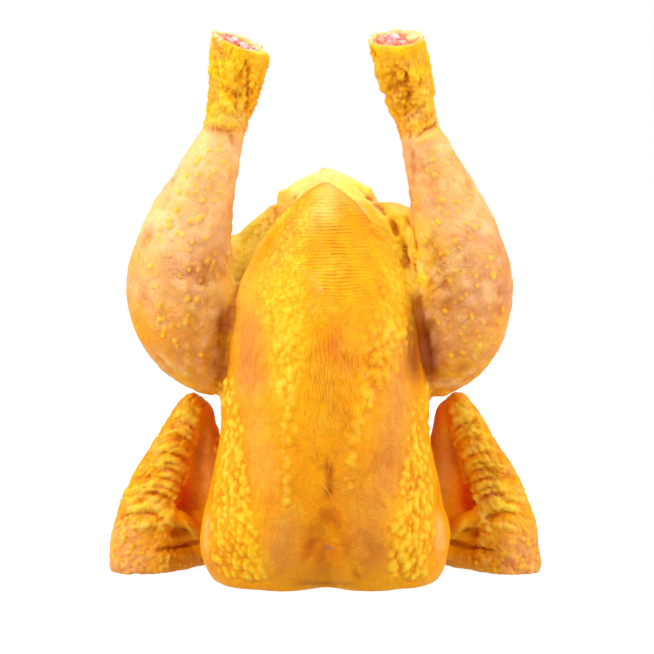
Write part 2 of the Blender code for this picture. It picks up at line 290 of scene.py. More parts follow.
class Clay:
    """The skin's mesh, with tools that raise, press and colour it.

    What the tools do adds up until settle() moves the skin, so that all strokes of one layer are
    aimed at the same surface.
    """

    def __init__(self, mesh: bpy.types.Mesh) -> None:
        """Takes the mesh over.

        Args:
            mesh: An even, closed mesh.
        """
        self.mesh = mesh
        count = len(mesh.vertices)
        self.rise = np.zeros(count)
        self.relief = np.zeros(count)
        self.colour = np.tile(np.array(linear(SkinPaint.GOLD.value)[:3]), (count, 1))
        self.grains = {grain: np.zeros(count) for grain in Grain}
        self._read()

    def _read(self) -> None:
        """Reads the mesh's places and normals, and readies it for aiming."""
        count = len(self.mesh.vertices)
        flat = np.empty(count * 3)
        self.mesh.vertices.foreach_get("co", flat)
        self.places = flat.reshape(count, 3) / MM
        flat = np.empty(count * 3)
        self.mesh.vertex_normals.foreach_get("vector", flat)
        self.normals = flat.reshape(count, 3)
        work = bmesh.new()
        work.from_mesh(self.mesh)
        self.surface = BVHTree.FromBMesh(work)
        work.free()
        self.points = KDTree(count)
        for k, place in enumerate(self.places):
            self.points.insert(place, k)
        self.points.balance()

    def settle(self) -> None:
        """Moves the skin by what the tools have added up, and starts the next layer."""
        self.relief += self.rise
        self.places = self.places + self.normals * self.rise[:, None]
        self.places[:, 2] = np.maximum(self.places[:, 2], 0.0)
        self.mesh.vertices.foreach_set("co", (self.places * MM).ravel())
        self.mesh.update()
        self.rise[:] = 0.0
        self._read()

    def aim(self, place: Place, side: Side) -> tuple[Vector, Vector] | None:
        """Finds the skin under a drawn place.

        Args:
            place: How far across and up it is.
            side: The side it is drawn on.

        Returns:
            The point and the skin's normal there, or None where the bird isn't.
        """
        if side is Side.FRONT:
            start = eye_point()
            rise = math.radians(EYE_HEIGHT_DEG)
            up = Vector((0.0, math.sin(rise), math.cos(rise)))
            goal = EYE_TARGET + Vector((place[0] - EYE_TARGET.x, 0, 0)) + up * (place[1] - EYE_TARGET.z)
            way = (goal - start).normalized()
        else:
            turn = Matrix.Rotation(math.radians(side.value), 3, "Z")
            way = turn @ Vector((0, 1, 0))
            start = turn @ Vector((place[0], 0, 0)) + Vector((0, 0, place[1])) - way * 400
        hit, normal, _, _ = self.surface.ray_cast(start * MM, way)
        return None if hit is None else (hit / MM, normal)

    def trace(self, path: tuple[Place, ...], side: Side, step: float) -> tuple[np.ndarray, np.ndarray]:
        """Lays a path on the skin.

        Args:
            path: The drawn places.
            side: The side it is drawn on.
            step: The spacing of the points.

        Returns:
            The points on the skin and the share of the way that each is at.
        """
        count = max(2, int(path_length(path) / step) + 1) if len(path) > 1 else 1
        drawn = smooth_path(path, count)
        found = [(self.aim((x, z), side), k / max(count - 1, 1)) for k, (x, z) in enumerate(drawn)]
        kept = [(tuple(hit[0]), share) for hit, share in found if hit]
        if not kept:
            return np.empty((0, 3)), np.empty(0)
        return np.array([spot for spot, _ in kept]), np.array([share for _, share in kept])

    def stroke(self, stroke: Stroke) -> None:
        """Draws one stroke.

        Args:
            stroke: The stroke.
        """
        points, shares = self.trace(stroke.path, stroke.side, max(stroke.width * 0.45, 0.6))
        if not len(points):
            return
        reach = stroke.width * 2.0
        low, high = points.min(axis=0) - reach, points.max(axis=0) + reach
        near = np.flatnonzero(((self.places > low) & (self.places < high)).all(axis=1))
        if not len(near):
            return
        first, last = stroke.taper
        ends = np.interp(shares, (0, 0.25, 0.75, 1), (first, 1, 1, last)) if len(points) > 1 else np.ones(1)
        pull = np.zeros(len(near))
        for point, end in zip(points, ends):
            gaps = ((self.places[near] - point) ** 2).sum(axis=1)
            pull = np.maximum(pull, np.exp(-gaps / stroke.width**2) * end)
        self.rise[near] += stroke.rise * pull
        self.paint(near, pull, stroke.paint)

    def draw(self, strokes: list[Stroke]) -> None:
        """Draws the strokes in turn."""
        for stroke in strokes:
            self.stroke(stroke)

    def paint(self, where: np.ndarray, pull: np.ndarray, paint: tuple[tuple[SkinPaint | Grain, float], ...]) -> None:
        """Colours points of the skin.

        Args:
            where: Their numbers.
            pull: How much of the colour each takes, from 0 to 1.
            paint: The colours, painted shade, highlight and glow among them, and the grains, with their strengths.
        """
        for what, amount in paint:
            share = np.clip(pull * amount, 0, 1)
            if isinstance(what, Grain):
                self.grains[what][where] = np.maximum(self.grains[what][where], share)
            else:
                goal = np.array(linear(what.value)[:3])
                self.colour[where] += (goal - self.colour[where]) * share[:, None]

    def wash(self, weights: np.ndarray, dye: SkinPaint, cover: float) -> None:
        """Colours the whole skin by weights."""
        where = np.flatnonzero(weights > 0)
        self.paint(where, weights[where], ((dye, cover),))

    def dot(self, beads: list[Bead]) -> None:
        """Raises beads of fat, which crowd but don't pile up.

        Args:
            beads: The beads.
        """
        domes, moats = np.zeros(len(self.rise)), np.zeros(len(self.rise))
        for bead in beads:
            found = self.aim(bead.place, bead.side)
            if found is None:
                continue
            spot, normal = found
            up = Vector((0, 0, 1)) - normal * normal.z
            up = up.normalized() if up.length > 0.2 else normal.orthogonal().normalized()
            up = Matrix.Rotation(math.radians(bead.lean), 3, normal) @ up
            reach = bead.radius * max(bead.stretch, 1.0) * 1.7
            near = np.array([index for _, index, _ in self.points.find_range(spot, reach)], int)
            if not len(near):
                continue
            away = self.places[near] - np.array(spot)
            down = -(away @ np.array(up)) / (bead.radius * bead.stretch)
            out = (away @ np.array(normal.cross(up))) / bead.radius
            gap = np.sqrt(down**2 + out**2)
            dome = (0.5 + 0.5 * np.cos(math.pi * np.minimum(gap / 1.25, 1))) ** 0.8
            domes[near] = np.maximum(domes[near], bead.height * dome * (1 + 0.3 * np.clip(down, -1, 1)))
            moats[near] = np.maximum(moats[near], bead.height * np.exp(-(((gap - 1.35) / 0.3) ** 2)))
            self.paint(near, np.clip(dome * 1.5, 0, 1), ((bead.dye, bead.cover),))
        self.rise += domes - 0.28 * moats * (domes < 0.15)

    def billow(self, weights: np.ndarray, sizes: Spot, rise: float, turn: float = 0.0, seed: float = 0.0) -> None:
        """Swells the skin into soft rolls with sharp creases between them.

        Args:
            weights: How strong they are at each point.
            sizes: How far apart the rolls are, across, front to back and up.
            rise: How high they are above the creases.
            turn: Degrees that they are turned about the Y axis, seen from the front.
            seed: Where in the noise to start.
        """
        angle = math.radians(turn)
        way = np.array(((math.cos(angle), 0, math.sin(angle)), (0, 1, 0), (-math.sin(angle), 0, math.cos(angle))))
        for k in np.flatnonzero(weights > 0.01):
            spot = Vector((way @ self.places[k]) / sizes) + Vector((seed, seed * 0.7, 0))
            bend = noise.noise(spot * 0.45 + Vector((0, 0, seed))) * 0.9
            spot.z += bend
            roll = min(abs(noise.noise(spot)) * 2.6, 1.0) + 0.35 * min(abs(noise.noise(spot * 2.1)) * 2.6, 1.0)
            self.rise[k] += rise * weights[k] * (roll - 0.6)

    def swell(self, weights: np.ndarray, size: float, rise: float, seed: float) -> None:
        """Adds soft unevenness.

        Args:
            weights: How strong it is at each point.
            size: Its width.
            rise: Its height.
            seed: Where in the noise to start.
        """
        for k in np.flatnonzero(weights > 0.01):
            spot = Vector(self.places[k] / size) + Vector((seed, 0, seed))
            self.rise[k] += rise * weights[k] * noise.noise(spot)

    def dapple(self, weights: np.ndarray, size: float, dye: SkinPaint, cover: float) -> None:
        """Colours the skin in soft patches.

        Args:
            weights: How strong they are at each point.
            size: Their width.
            dye: Their colour.
            cover: How much it covers at most.
        """
        where = np.flatnonzero(weights > 0.01)
        start = Vector((size * 7.3, cover * 11.0, size * cover))
        pull = [noise.noise(Vector(self.places[k] / size) + start) for k in where]
        self.paint(where, weights[where] * np.clip(np.array(pull) * 2.2, 0, 1), ((dye, cover),))

    def finish(self) -> bpy.types.Mesh:
        """Stores the colours and thins the mesh where it is plain.

        Returns:
            The skin's mesh.
        """
        painted_layer = self.mesh.attributes.new("dye", "FLOAT_COLOR", "POINT")
        rgba = np.concatenate([np.clip(self.colour, 0, 1), np.ones((len(self.colour), 1))], axis=1)
        painted_layer.data.foreach_set("color", rgba.astype(np.float32).ravel())
        layers = {grain.value: values for grain, values in self.grains.items()} | {"relief": self.relief}
        for name, values in layers.items():
            layer = self.mesh.attributes.new(name, "FLOAT", "POINT")
            layer.data.foreach_set("value", values.astype(np.float32))
        triangles = sum(len(face.vertices) - 2 for face in self.mesh.polygons)

        def thinned(holder: bpy.types.Object) -> None:
            """Adds the modifier that merges faces where the skin is plain."""
            thin = holder.modifiers.new("thin", "DECIMATE")
            thin.ratio = min(1.0, MOST_TRIANGLES / triangles)

        return finished(self.mesh.copy(), thinned)


# ---- colours and materials ---------------------------------------------------------------------


def add_node(
    tree: bpy.types.NodeTree,
    kind: str,
    inputs: dict[str | int, object] | None = None,
    output: str | int = 0,
    **settings: object,
) -> bpy.types.NodeSocket | None:
    """Adds a node with its settings and links.

    Args:
        tree: The node tree.
        kind: The node's type.
        inputs: For each input, a socket to join to it or a value to set on it.
        output: The output that is wanted.
        **settings: Properties of the node.

    Returns:
        That output, or None for a node that has none.
    """
    node = tree.nodes.new(kind)
    for name, value in settings.items():
        setattr(node, name, value)
    for name, value in (inputs or {}).items():
        socket = node.inputs[name]
        if isinstance(value, bpy.types.NodeSocket):
            tree.links.new(value, socket)
        else:
            socket.default_value = value
    return node.outputs[output] if len(node.outputs) else None


def bare_material(name: str) -> tuple[bpy.types.Material, bpy.types.NodeTree]:
    """A material with an empty node tree.

    Args:
        name: Its name.

    Returns:
        The material and its tree.
    """
    material = bpy.data.materials.new(name)
    material.use_nodes = True
    material.node_tree.nodes.clear()
    return material, material.node_tree


@dataclass(frozen=True)
class SkinFinish:
    """Moist, plucked poultry skin: thin, yellow with fat, and pink where the meat is near.

    Light goes a millimetre or so in, which softens the lumps, and a thin film of water on the grain
    gives it small broken highlights.  Its colour holds painted shade and painted highlight.
    """

    name: str = "poultry_skin"
    # painted shade in the relief's hollows
    crease_shade: str = "b85200"
    # the fat's yellow with painted highlight on the relief's crests
    crest_yellow_and_highlight: str = "ffe04a"
    grain_mm: float = 1.0
    wrinkle_mm: float = 1.75
    mottle_mm: float = 7.0
    blotch_mm: float = 24.0
    roughness: float = 0.5

    def dress(self) -> bpy.types.Material:
        """Makes the material.

        Returns:
            The material.
        """
        material, tree = bare_material(self.name)
        plain = spot = add_node(tree, "ShaderNodeTexCoord", output="Object")
        drift = add_node(tree, "ShaderNodeTexNoise", {"Vector": spot, "Scale": 90.0, "Detail": 1.0}, "Color")
        shift = {0: drift, 1: (0.008, 0.008, 0.008), 2: spot}
        spot = add_node(tree, "ShaderNodeVectorMath", shift, operation="MULTIPLY_ADD")
        patterns = {}
        for name, size, detail, squash in (
            ("fine", self.grain_mm, 3.0, (1, 1, 1)),
            ("mottle", self.mottle_mm, 4.0, (1, 1, 1)),
            ("blotch", self.blotch_mm, 3.0, (1, 1, 1)),
        ):
            scale = tuple(part / (size * MM) for part in squash)
            place = add_node(tree, "ShaderNodeMapping", {"Vector": spot, "Scale": scale})
            wave = {"Vector": place, "Scale": 1.0, "Detail": detail, "Roughness": 0.6}
            patterns[name] = add_node(tree, "ShaderNodeTexNoise", wave, "Fac")
        # Wrinkles as fine as a fingerprint's run level over the keel and upright below it.
        turn = 2 * math.pi / (20 * self.wrinkle_mm * MM)  # a wave's scale for one wrinkle in that width
        faded = {0: patterns["mottle"], 1: 0.4, 2: 0.6, 3: 0.15, 4: 1.0}
        broken = add_node(tree, "ShaderNodeMapRange", faded)
        for grain, way, bend, place in ((Grain.ACROSS, "Z", 5.0, plain), (Grain.ALONG, "X", 3.0, spot)):
            where = add_node(tree, "ShaderNodeAttribute", output="Fac", attribute_name=grain.value)
            where = add_node(tree, "ShaderNodeMath", {0: where, 1: broken}, operation="MULTIPLY")
            wave = {"Vector": place, "Scale": turn, "Distortion": bend, "Detail": 3.0, "Detail Scale": 0.35}
            ridge = add_node(tree, "ShaderNodeTexWave", wave, "Fac", bands_direction=way)
            centred = add_node(tree, "ShaderNodeMath", {0: ridge, 1: 0.5}, operation="SUBTRACT")
            patterns[grain.value] = add_node(tree, "ShaderNodeMath", {0: centred, 1: where}, operation="MULTIPLY")
        both = {0: patterns["across"], 1: patterns["along"]}
        patterns["ridges"] = add_node(tree, "ShaderNodeMath", both, operation="ADD")
        patterns["relief"] = add_node(tree, "ShaderNodeAttribute", output="Fac", attribute_name="relief")

        colour = add_node(tree, "ShaderNodeAttribute", output="Color", attribute_name="dye")
        for over, name, low, high, cover, blend in (
            # painted shade in the relief's hollows, then yellow with painted highlight on its crests
            (self.crease_shade, "relief", -0.1, -1.1, 0.7, "MIX"),
            (self.crest_yellow_and_highlight, "relief", 0.3, 1.4, 0.42, "MIX"),
            ("f4cc98", "mottle", 0.5, 0.68, 0.45, "MULTIPLY"),
            ("ffe0a0", "mottle", 0.46, 0.3, 0.5, "MULTIPLY"),
            (SkinPaint.BUTTER.value, "blotch", 0.52, 0.7, 0.4, "MIX"),
            # painted shade in the fine wrinkles' troughs, and painted highlight on their tops
            ("e87c00", "ridges", 0.0, -0.5, 0.5, "MIX"),
            (self.crest_yellow_and_highlight, "ridges", 0.0, 0.5, 0.2, "MIX"),
        ):
            limits = {0: patterns[name], 1: low, 2: high, 3: 0.0, 4: cover}
            layer = {0: add_node(tree, "ShaderNodeMapRange", limits), 6: colour, 7: linear(over)}
            colour = add_node(tree, "ShaderNodeMix", layer, 2, data_type="RGBA", blend_type=blend)
        value = add_node(tree, "ShaderNodeMapRange", {0: patterns["fine"], 1: 0.3, 2: 0.7, 3: 0.94, 4: 1.06})
        tone = add_node(tree, "ShaderNodeHueSaturation", {"Color": colour, "Value": value})

        height = 0.0
        for name, share in (("mottle", 1.3), ("fine", 0.6), ("ridges", 0.75)):
            step = {0: patterns[name], 1: share, 2: height}
            height = add_node(tree, "ShaderNodeMath", step, operation="MULTIPLY_ADD")
        bump = add_node(tree, "ShaderNodeBump", {"Height": height, "Strength": 0.9, "Distance": 0.0011})
        limits = {0: patterns["fine"], 1: 0.3, 2: 0.7, 3: self.roughness - 0.1, 4: self.roughness + 0.1}
        shader = add_node(
            tree,
            "ShaderNodeBsdfPrincipled",
            {
                "Base Color": tone,
                "Roughness": add_node(tree, "ShaderNodeMapRange", limits),
                "Normal": bump,
                "IOR": 1.4,
                "Subsurface Weight": 0.1,
                "Subsurface Radius": (1.0, 0.4, 0.1),
                "Subsurface Scale": 0.0025,
                "Specular IOR Level": 0.14,
                "Coat Weight": 0.06,
                "Coat Roughness": 0.2,
            },
        )
        add_node(tree, "ShaderNodeOutputMaterial", {"Surface": shader})
        return material


@dataclass(frozen=True)
class WetFinish:
    """Moist tissue at a cut, such as gristle, marrow or fat: smooth, translucent and glossy."""

    name: str
    colour: str
    vein: str
    spot_mm: float = 2.5
    roughness: float = 0.28
    share: float = 0.5

    def dress(self) -> bpy.types.Material:
        """Makes the material.

        Returns:
            The material.
        """
        material, tree = bare_material(self.name)
        spot = add_node(tree, "ShaderNodeTexCoord", output="Object")
        wave = {"Vector": spot, "Scale": 1 / (self.spot_mm * MM), "Detail": 4.0, "Distortion": 0.6}
        blotch = add_node(tree, "ShaderNodeTexNoise", wave, "Fac")
        limits = {0: blotch, 1: self.share - 0.08, 2: self.share + 0.1, 3: 0.0, 4: 1.0}
        colours = {0: add_node(tree, "ShaderNodeMapRange", limits), 6: linear(self.colour), 7: linear(self.vein)}
        shader = add_node(
            tree,
            "ShaderNodeBsdfPrincipled",
            {
                "Base Color": add_node(tree, "ShaderNodeMix", colours, 2, data_type="RGBA"),
                "Roughness": self.roughness,
                "Normal": add_node(tree, "ShaderNodeBump", {"Height": blotch, "Strength": 0.5, "Distance": 0.0006}),
                "Subsurface Weight": 0.2,
                "Subsurface Radius": (1.0, 0.4, 0.25),
                "Subsurface Scale": 0.0015,
                "Coat Weight": 0.3,
                "Coat Roughness": 0.1,
            },
        )
        add_node(tree, "ShaderNodeOutputMaterial", {"Surface": shader})
        return material


def make_piece(
    name: str, mesh: bpy.types.Mesh, material: bpy.types.Material, stands_for: str | None = None
) -> bpy.types.Object:
    """Puts a finished mesh into the scene as a piece of the bird.

    Args:
        name: The piece's name.
        mesh: Its mesh, in place.
        material: Its material.
        stands_for: The solid that it takes the place of.

    Returns:
        The piece.
    """
    mesh.name = name
    mesh.materials.clear()
    mesh.materials.append(material)
    mesh.polygons.foreach_set("use_smooth", [True] * len(mesh.polygons))
    piece = bpy.data.objects.new(name, mesh)
    bpy.context.scene.collection.objects.link(piece)
    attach(piece, "root")
    if stands_for:
        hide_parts(stands_for)
    LOG.info("%s: %d triangles", name, sum(len(face.vertices) - 2 for face in mesh.polygons))
    return piece


# ---- the bird's own measures -------------------------------------------------------------------


@dataclass(frozen=True)
class Shank:
    """A drumstick with its hock, and the knife's cut where the foot was."""

    name: str
    side: int
    line: tuple[Spot, ...]
    cut: Spot
    turn: float  # degrees that the cut leans towards +X
    lean: float  # degrees that it leans towards the breast side

    def frame(self) -> Matrix:
        """Where the cut is: its middle, with Z out of it, X to the right and -Y to the front."""
        turn = Matrix.Rotation(math.radians(self.turn), 4, "Y")
        lean = Matrix.Rotation(math.radians(self.lean), 4, "X")
        return Matrix.Translation(Vector(self.cut)) @ turn @ lean

    def meat(self) -> Zone:
        """The meaty part."""
        return Zone(self.line[:6], (14, 25, 29, 26, 17, 13), 6)

    def hock(self) -> Zone:
        """The knobbly sleeve of yellow skin at the end."""
        return Zone(self.line[5:], (13, 17, 18), 6)


SHANKS = (
    Shank(
        name="left",
        side=-1,
        line=(
            (-58.5, -4, 102),
            (-69, -5, 125),
            (-77.5, -6, 159),
            (-73.5, -6, 187),
            (-62, -9, 221),
            (-52.5, -10, 247),
            (-46.5, -13, 273),
            (-44, -13, 300),
        ),
        cut=(-45.7, -13.4, 289.0),
        turn=21,
        lean=12,
    ),
    Shank(
        name="right",
        side=1,
        line=(
            (57.5, -4, 101),
            (67.5, -5, 125),
            (73, -6, 159),
            (69, -6, 187),
            (58.5, -9, 221),
            (49, -10, 247),
            (41.5, -13, 273),
            (35.5, -13, 300),
        ),
        cut=(37.5, -13.4, 290.5),
        turn=-4,
        lean=22,
    ),
)
FOREARM = Zone(((-71, 22, 101), (-84, 19, 69), (-98, 16, 35), (-103, 16, 3)), (7, 12, 17, 17), 4)
WRIST = Zone(((-106, 16, 20), (-107, 16, 2)), (12, 15), 14)
HAND = Zone(((-104, 16, 9), (-90, 20, 8), (-66, 40, 9)), (10, 11, 9), 3)
UPPER_ARM = Zone(((-52, 34, 16), (-61, 33, 46), (-68, 30, 78), (-70, 26, 97)), (12, 12, 10, 7), 4)
WEB = Zone(((-77, 23, 62), (-80, 23, 34)), (5, 6), 4)


@dataclass
class Skin:
    """The bird's whole skin, kneaded over the solid."""

    solid: str = "chicken"
    grain: float = 0.92
    passes: int = 14
    clay: Clay = field(init=False)

    def __post_init__(self) -> None:
        """Copies the solid as clay."""
        self.clay = Clay(clay_copy(bpy.data.objects[self.solid], self.grain, self.passes))

    def build(self, material: bpy.types.Material) -> bpy.types.Object:
        """Makes the skin.

        Args:
            material: Its material.

        Returns:
            The piece.
        """
        self._wash()
        for strokes in (self._breast(), self._folds(), self._tail(), self._legs(), self._wings(), self._back()):
            self.clay.draw(strokes)
        self._dapple()
        self._open_cuts()
        self.clay.settle()
        self._knobble()
        self.clay.settle()
        self.clay.dot(Follicles().beads())
        self.clay.settle()
        return make_piece("skin", self.clay.finish(), material, self.solid)

    def _wash(self) -> None:
        """Lays the broad colours: tan drumsticks with painted highlight and shade, yellow hocks and wings, pink
        wrists.
        """
        clay = self.clay
        x, y, z = clay.places.T
        for shank in SHANKS:
            meat = shank.meat().weights(clay.places)
            clay.wash(meat, SkinPaint.TAN, 0.9)
            # paler towards the drumsticks' tops, more on the left one: painted highlight
            clay.wash(meat * np.clip((z - 135) / 60, 0, 1), SkinPaint.BLUSH, 0.75 if shank.side < 0 else 0.45)
            clay.wash(meat * np.clip(1 - abs(z - 165) / 45, 0, 1), SkinPaint.MAUVE, 0.45 if shank.side < 0 else 0.9)
            # darker towards the drumsticks' lower ends: painted shade
            clay.wash(meat * np.clip((165 - z) / 50, 0, 1), SkinPaint.AMBER, 0.5)
            # the right drumstick darker at mid height: painted shade
            if shank.side > 0:
                clay.wash(meat * np.clip(1 - abs(z - 165) / 35, 0, 1), SkinPaint.AMBER, 0.4)
            clay.wash(meat * np.clip((125 - z) / 12, 0, 1), SkinPaint.BUTTER, 0.6)
            clay.wash(shank.hock().weights(clay.places), SkinPaint.BUTTER, 1.0)
        for zone, dye, cover in (
            (UPPER_ARM, SkinPaint.TAN, 0.6),
            (WEB, SkinPaint.GLOW, 1.0),
            (HAND, SkinPaint.AMBER, 0.95),
            (FOREARM, SkinPaint.GOLD, 0.8),
            (WRIST, SkinPaint.PINK, 0.6),
        ):
            for part in (zone, zone.mirrored()):
                # the web's orange is a painted glow, on the side that faces the front
                front = np.clip(1.2 - clay.places[:, 1] / 30, 0, 1) if zone is WEB else 1.0
                clay.wash(part.weights(clay.places) * front, dye, cover)

    def _dapple(self) -> None:
        """Mottles the thin skin of the drumsticks, the hocks' sleeves, the wings and the back."""
        places = self.clay.places
        legs = np.clip(sum(shank.meat().weights(places) for shank in SHANKS), 0, 1)
        hocks = np.clip(sum(shank.hock().weights(places) for shank in SHANKS), 0, 1)
        wings = np.clip(FOREARM.weights(places) + FOREARM.mirrored().weights(places), 0, 1)
        back = np.clip(places[:, 1] / 30, 0, 1) * np.clip(self.clay.normals[:, 1] * 1.5, 0, 1) * (1 - legs)
        for weights, size, dye, cover in (
            (legs, 4.2, SkinPaint.MAUVE, 0.22),
            (legs, 9.0, SkinPaint.PINK, 0.35),
            (legs, 7.5, SkinPaint.BLUSH, 0.4),
            (hocks, 4.4, SkinPaint.AMBER, 0.45),
            (hocks, 9.0, SkinPaint.TAN, 0.5),
            (hocks, 2.6, SkinPaint.YOLK, 0.4),
            (wings, 6.0, SkinPaint.PINK, 0.3),
            (wings, 4.0, SkinPaint.AMBER, 0.25),
            (back, 17.0, SkinPaint.TAN, 0.6),
            (back, 9.0, SkinPaint.AMBER, 0.4),
            (np.ones(len(places)), 13.0, SkinPaint.AMBER, 0.15),
        ):
            self.clay.dapple(weights, size, dye, cover)

    def _breast(self) -> list[Stroke]:
        """The keel with its fine wrinkles, the bare sides, and the furrow below, with painted shade, highlight and
        glow.
        """
        fat = (SkinPaint.GOLD, 0.55)
        return [
            Stroke(((-20, 190), (-22, 150), (-20, 90)), 16, paint=((SkinPaint.BUTTER, 0.5),)),
            # the right tract deeper: gold tone with amber painted shade
            Stroke(((34, 170), (32, 130), (24, 95)), 12, paint=((SkinPaint.GOLD, 0.8), (SkinPaint.AMBER, 0.25))),
            Stroke(((4, 200), (6, 188), (9, 162)), 20, paint=((Grain.ACROSS, 1.0), fat)),
            # painted highlight on the keel's top
            Stroke(((3, 214), (0, 202), (-8, 196)), 8, paint=((SkinPaint.LEMON, 0.4), (SkinPaint.BLUSH, 0.3))),
            Stroke(((-14, 198), (-22, 182), (-30, 165)), 9, paint=((SkinPaint.TAN, 0.45),)),
            # the keel's right side deeper: gold with a little amber painted shade
            Stroke(((12, 204), (20, 182), (26, 160)), 8, paint=((SkinPaint.GOLD, 0.7), (SkinPaint.AMBER, 0.15))),
            Stroke(((4, 136), (4, 116), (3, 95), (2, 76)), 17, paint=((Grain.ALONG, 0.8), fat)),
            Stroke(((0, 62), (0, 44)), 26, paint=((Grain.ALONG, 0.3), (SkinPaint.GOLD, 0.5))),
            Stroke(((2, 218), (2, 195), (2, 152), (3, 98), (3, 60)), 4.5, 0.5),
            # the bare sides: tan skin with amber painted shade towards the folds beside the thighs
            Stroke(((-44, 152), (-43, 132), (-40, 98)), 10, paint=((SkinPaint.TAN, 0.9), (SkinPaint.AMBER, 0.45))),
            Stroke(((-37, 92), (-35, 70), (-32, 44)), 8, paint=((SkinPaint.TAN, 0.55),)),
            Stroke(((45, 128), (38, 92), (34, 60), (24, 24)), 9, paint=((SkinPaint.TAN, 0.75), (SkinPaint.AMBER, 0.25))),
            # painted shade beside the thighs, deepest on the right
            Stroke(((-52, 150), (-53, 128), (-53, 108)), 6, paint=((SkinPaint.AMBER, 0.6),)),
            Stroke(((53, 150), (52, 132), (55, 108)), 6, paint=((SkinPaint.RUST, 0.7),)),
            Stroke(((-45, 146), (-40, 128), (-44, 108)), 8, paint=((SkinPaint.AMBER, 0.4),)),
            Stroke(((48, 152), (47, 128), (50, 106)), 7, paint=((SkinPaint.AMBER, 1.0), (SkinPaint.RUST, 0.85))),
            # darker towards the base: tan tone with amber painted shade
            Stroke(((-22, 56), (-14, 40)), 12, paint=((SkinPaint.AMBER, 0.2),)),
            Stroke(((22, 58), (14, 40)), 12, paint=((SkinPaint.TAN, 0.25), (SkinPaint.AMBER, 0.35))),
            Stroke(((-18, 34), (-24, 18), (-26, 4)), 9, paint=((SkinPaint.TAN, 0.7), (SkinPaint.AMBER, 0.35))),
            Stroke(((18, 34), (25, 18), (28, 4)), 9, paint=((SkinPaint.TAN, 0.6), (SkinPaint.AMBER, 0.45))),
            Stroke(((4, 154), (5, 150)), 3.2, paint=((SkinPaint.BLOOD, 0.4),)),
            Stroke(((2, 131), (4, 124), (3, 118)), 3.4, paint=((SkinPaint.BLOOD, 0.5),)),
            Stroke(((5, 142), (4, 112)), 7, paint=((SkinPaint.AMBER, 0.3),)),
            # painted shade in the furrow's groove
            Stroke(((2, 64), (3, 54), (2, 42)), 2.6, -1.0, paint=((SkinPaint.AMBER, 0.5),)),
            # painted glow between the breast's lobes
            Stroke(((2, 42), (1, 24), (0, 4)), 9, -0.4, paint=((SkinPaint.GOLD, 0.9), (SkinPaint.GLOW, 0.35))),
            # painted shade along the lobes' inner edges
            Stroke(((2, 40), (-6, 23), (-15, 5)), 3.6, -0.6, paint=((SkinPaint.AMBER, 0.25),)),
            Stroke(((2, 40), (9, 23), (17, 5)), 3.6, -0.6, paint=((SkinPaint.AMBER, 0.25),)),
            Stroke(((14, 7), (17, 3), (20, 0)), 1.5, -0.4, paint=((SkinPaint.RUST, 0.25),)),
            # painted contact shadow along the base
            Stroke(((-20, -2), (-4, -1), (8, -2), (20, -1)), 1.6, paint=((SkinPaint.RUST, 0.6),)),
            Stroke(((-64, 34), (-65, 16)), 4, paint=((SkinPaint.BLUSH, 0.4),)),
            Stroke(((62, 34), (63, 16)), 5, paint=((SkinPaint.BLUSH, 0.4),)),
            # painted shadow line under a small fold
            Stroke(((-1, 18), (4, 17.5)), 1.2, -0.4, paint=((SkinPaint.MAUVE, 0.6),)),
        ]

    def _folds(self) -> list[Stroke]:
        """The deep folds between the breast, the thighs and the tail: painted highlight on edges, painted shade
        within.
        """
        # painted shade at the bottom of the deepest folds
        deep = ((SkinPaint.RUST, 0.85),)
        return [
            # lemon on the raised edges is painted highlight, amber in the creases painted shade
            Stroke(((-16, 203), (-27, 191), (-35, 181), (-42, 170)), 3.4, 1.5, taper=(0.2, 0.3), paint=((SkinPaint.LEMON, 0.4),)),
            Stroke(((-40, 176), (-46, 163), (-50, 150), (-52, 136)), 2.0, -1.2, taper=(0.2, 0.6), paint=((SkinPaint.AMBER, 0.4),)),
            Stroke(((-50, 148), (-53, 134), (-55, 116), (-57, 101)), 2.6, -2.4, paint=deep),
            Stroke(((9, 216), (24, 203), (35, 188), (42, 174), (48, 160)), 1.6, 1.0, paint=((SkinPaint.LEMON, 0.5),)),
            Stroke(((14, 216), (28, 203), (39, 188), (46, 174), (51, 160)), 1.9, -1.5, paint=((SkinPaint.AMBER, 0.4),)),
            Stroke(((49, 158), (51, 143), (54, 124), (57, 104)), 2.6, -2.4, paint=deep),
        ]

    def _tail(self) -> list[Stroke]:
        """The tail flap and nub, the flanks beside it with the ear-shaped fold on the right, painted highlight and
        shade.
        """
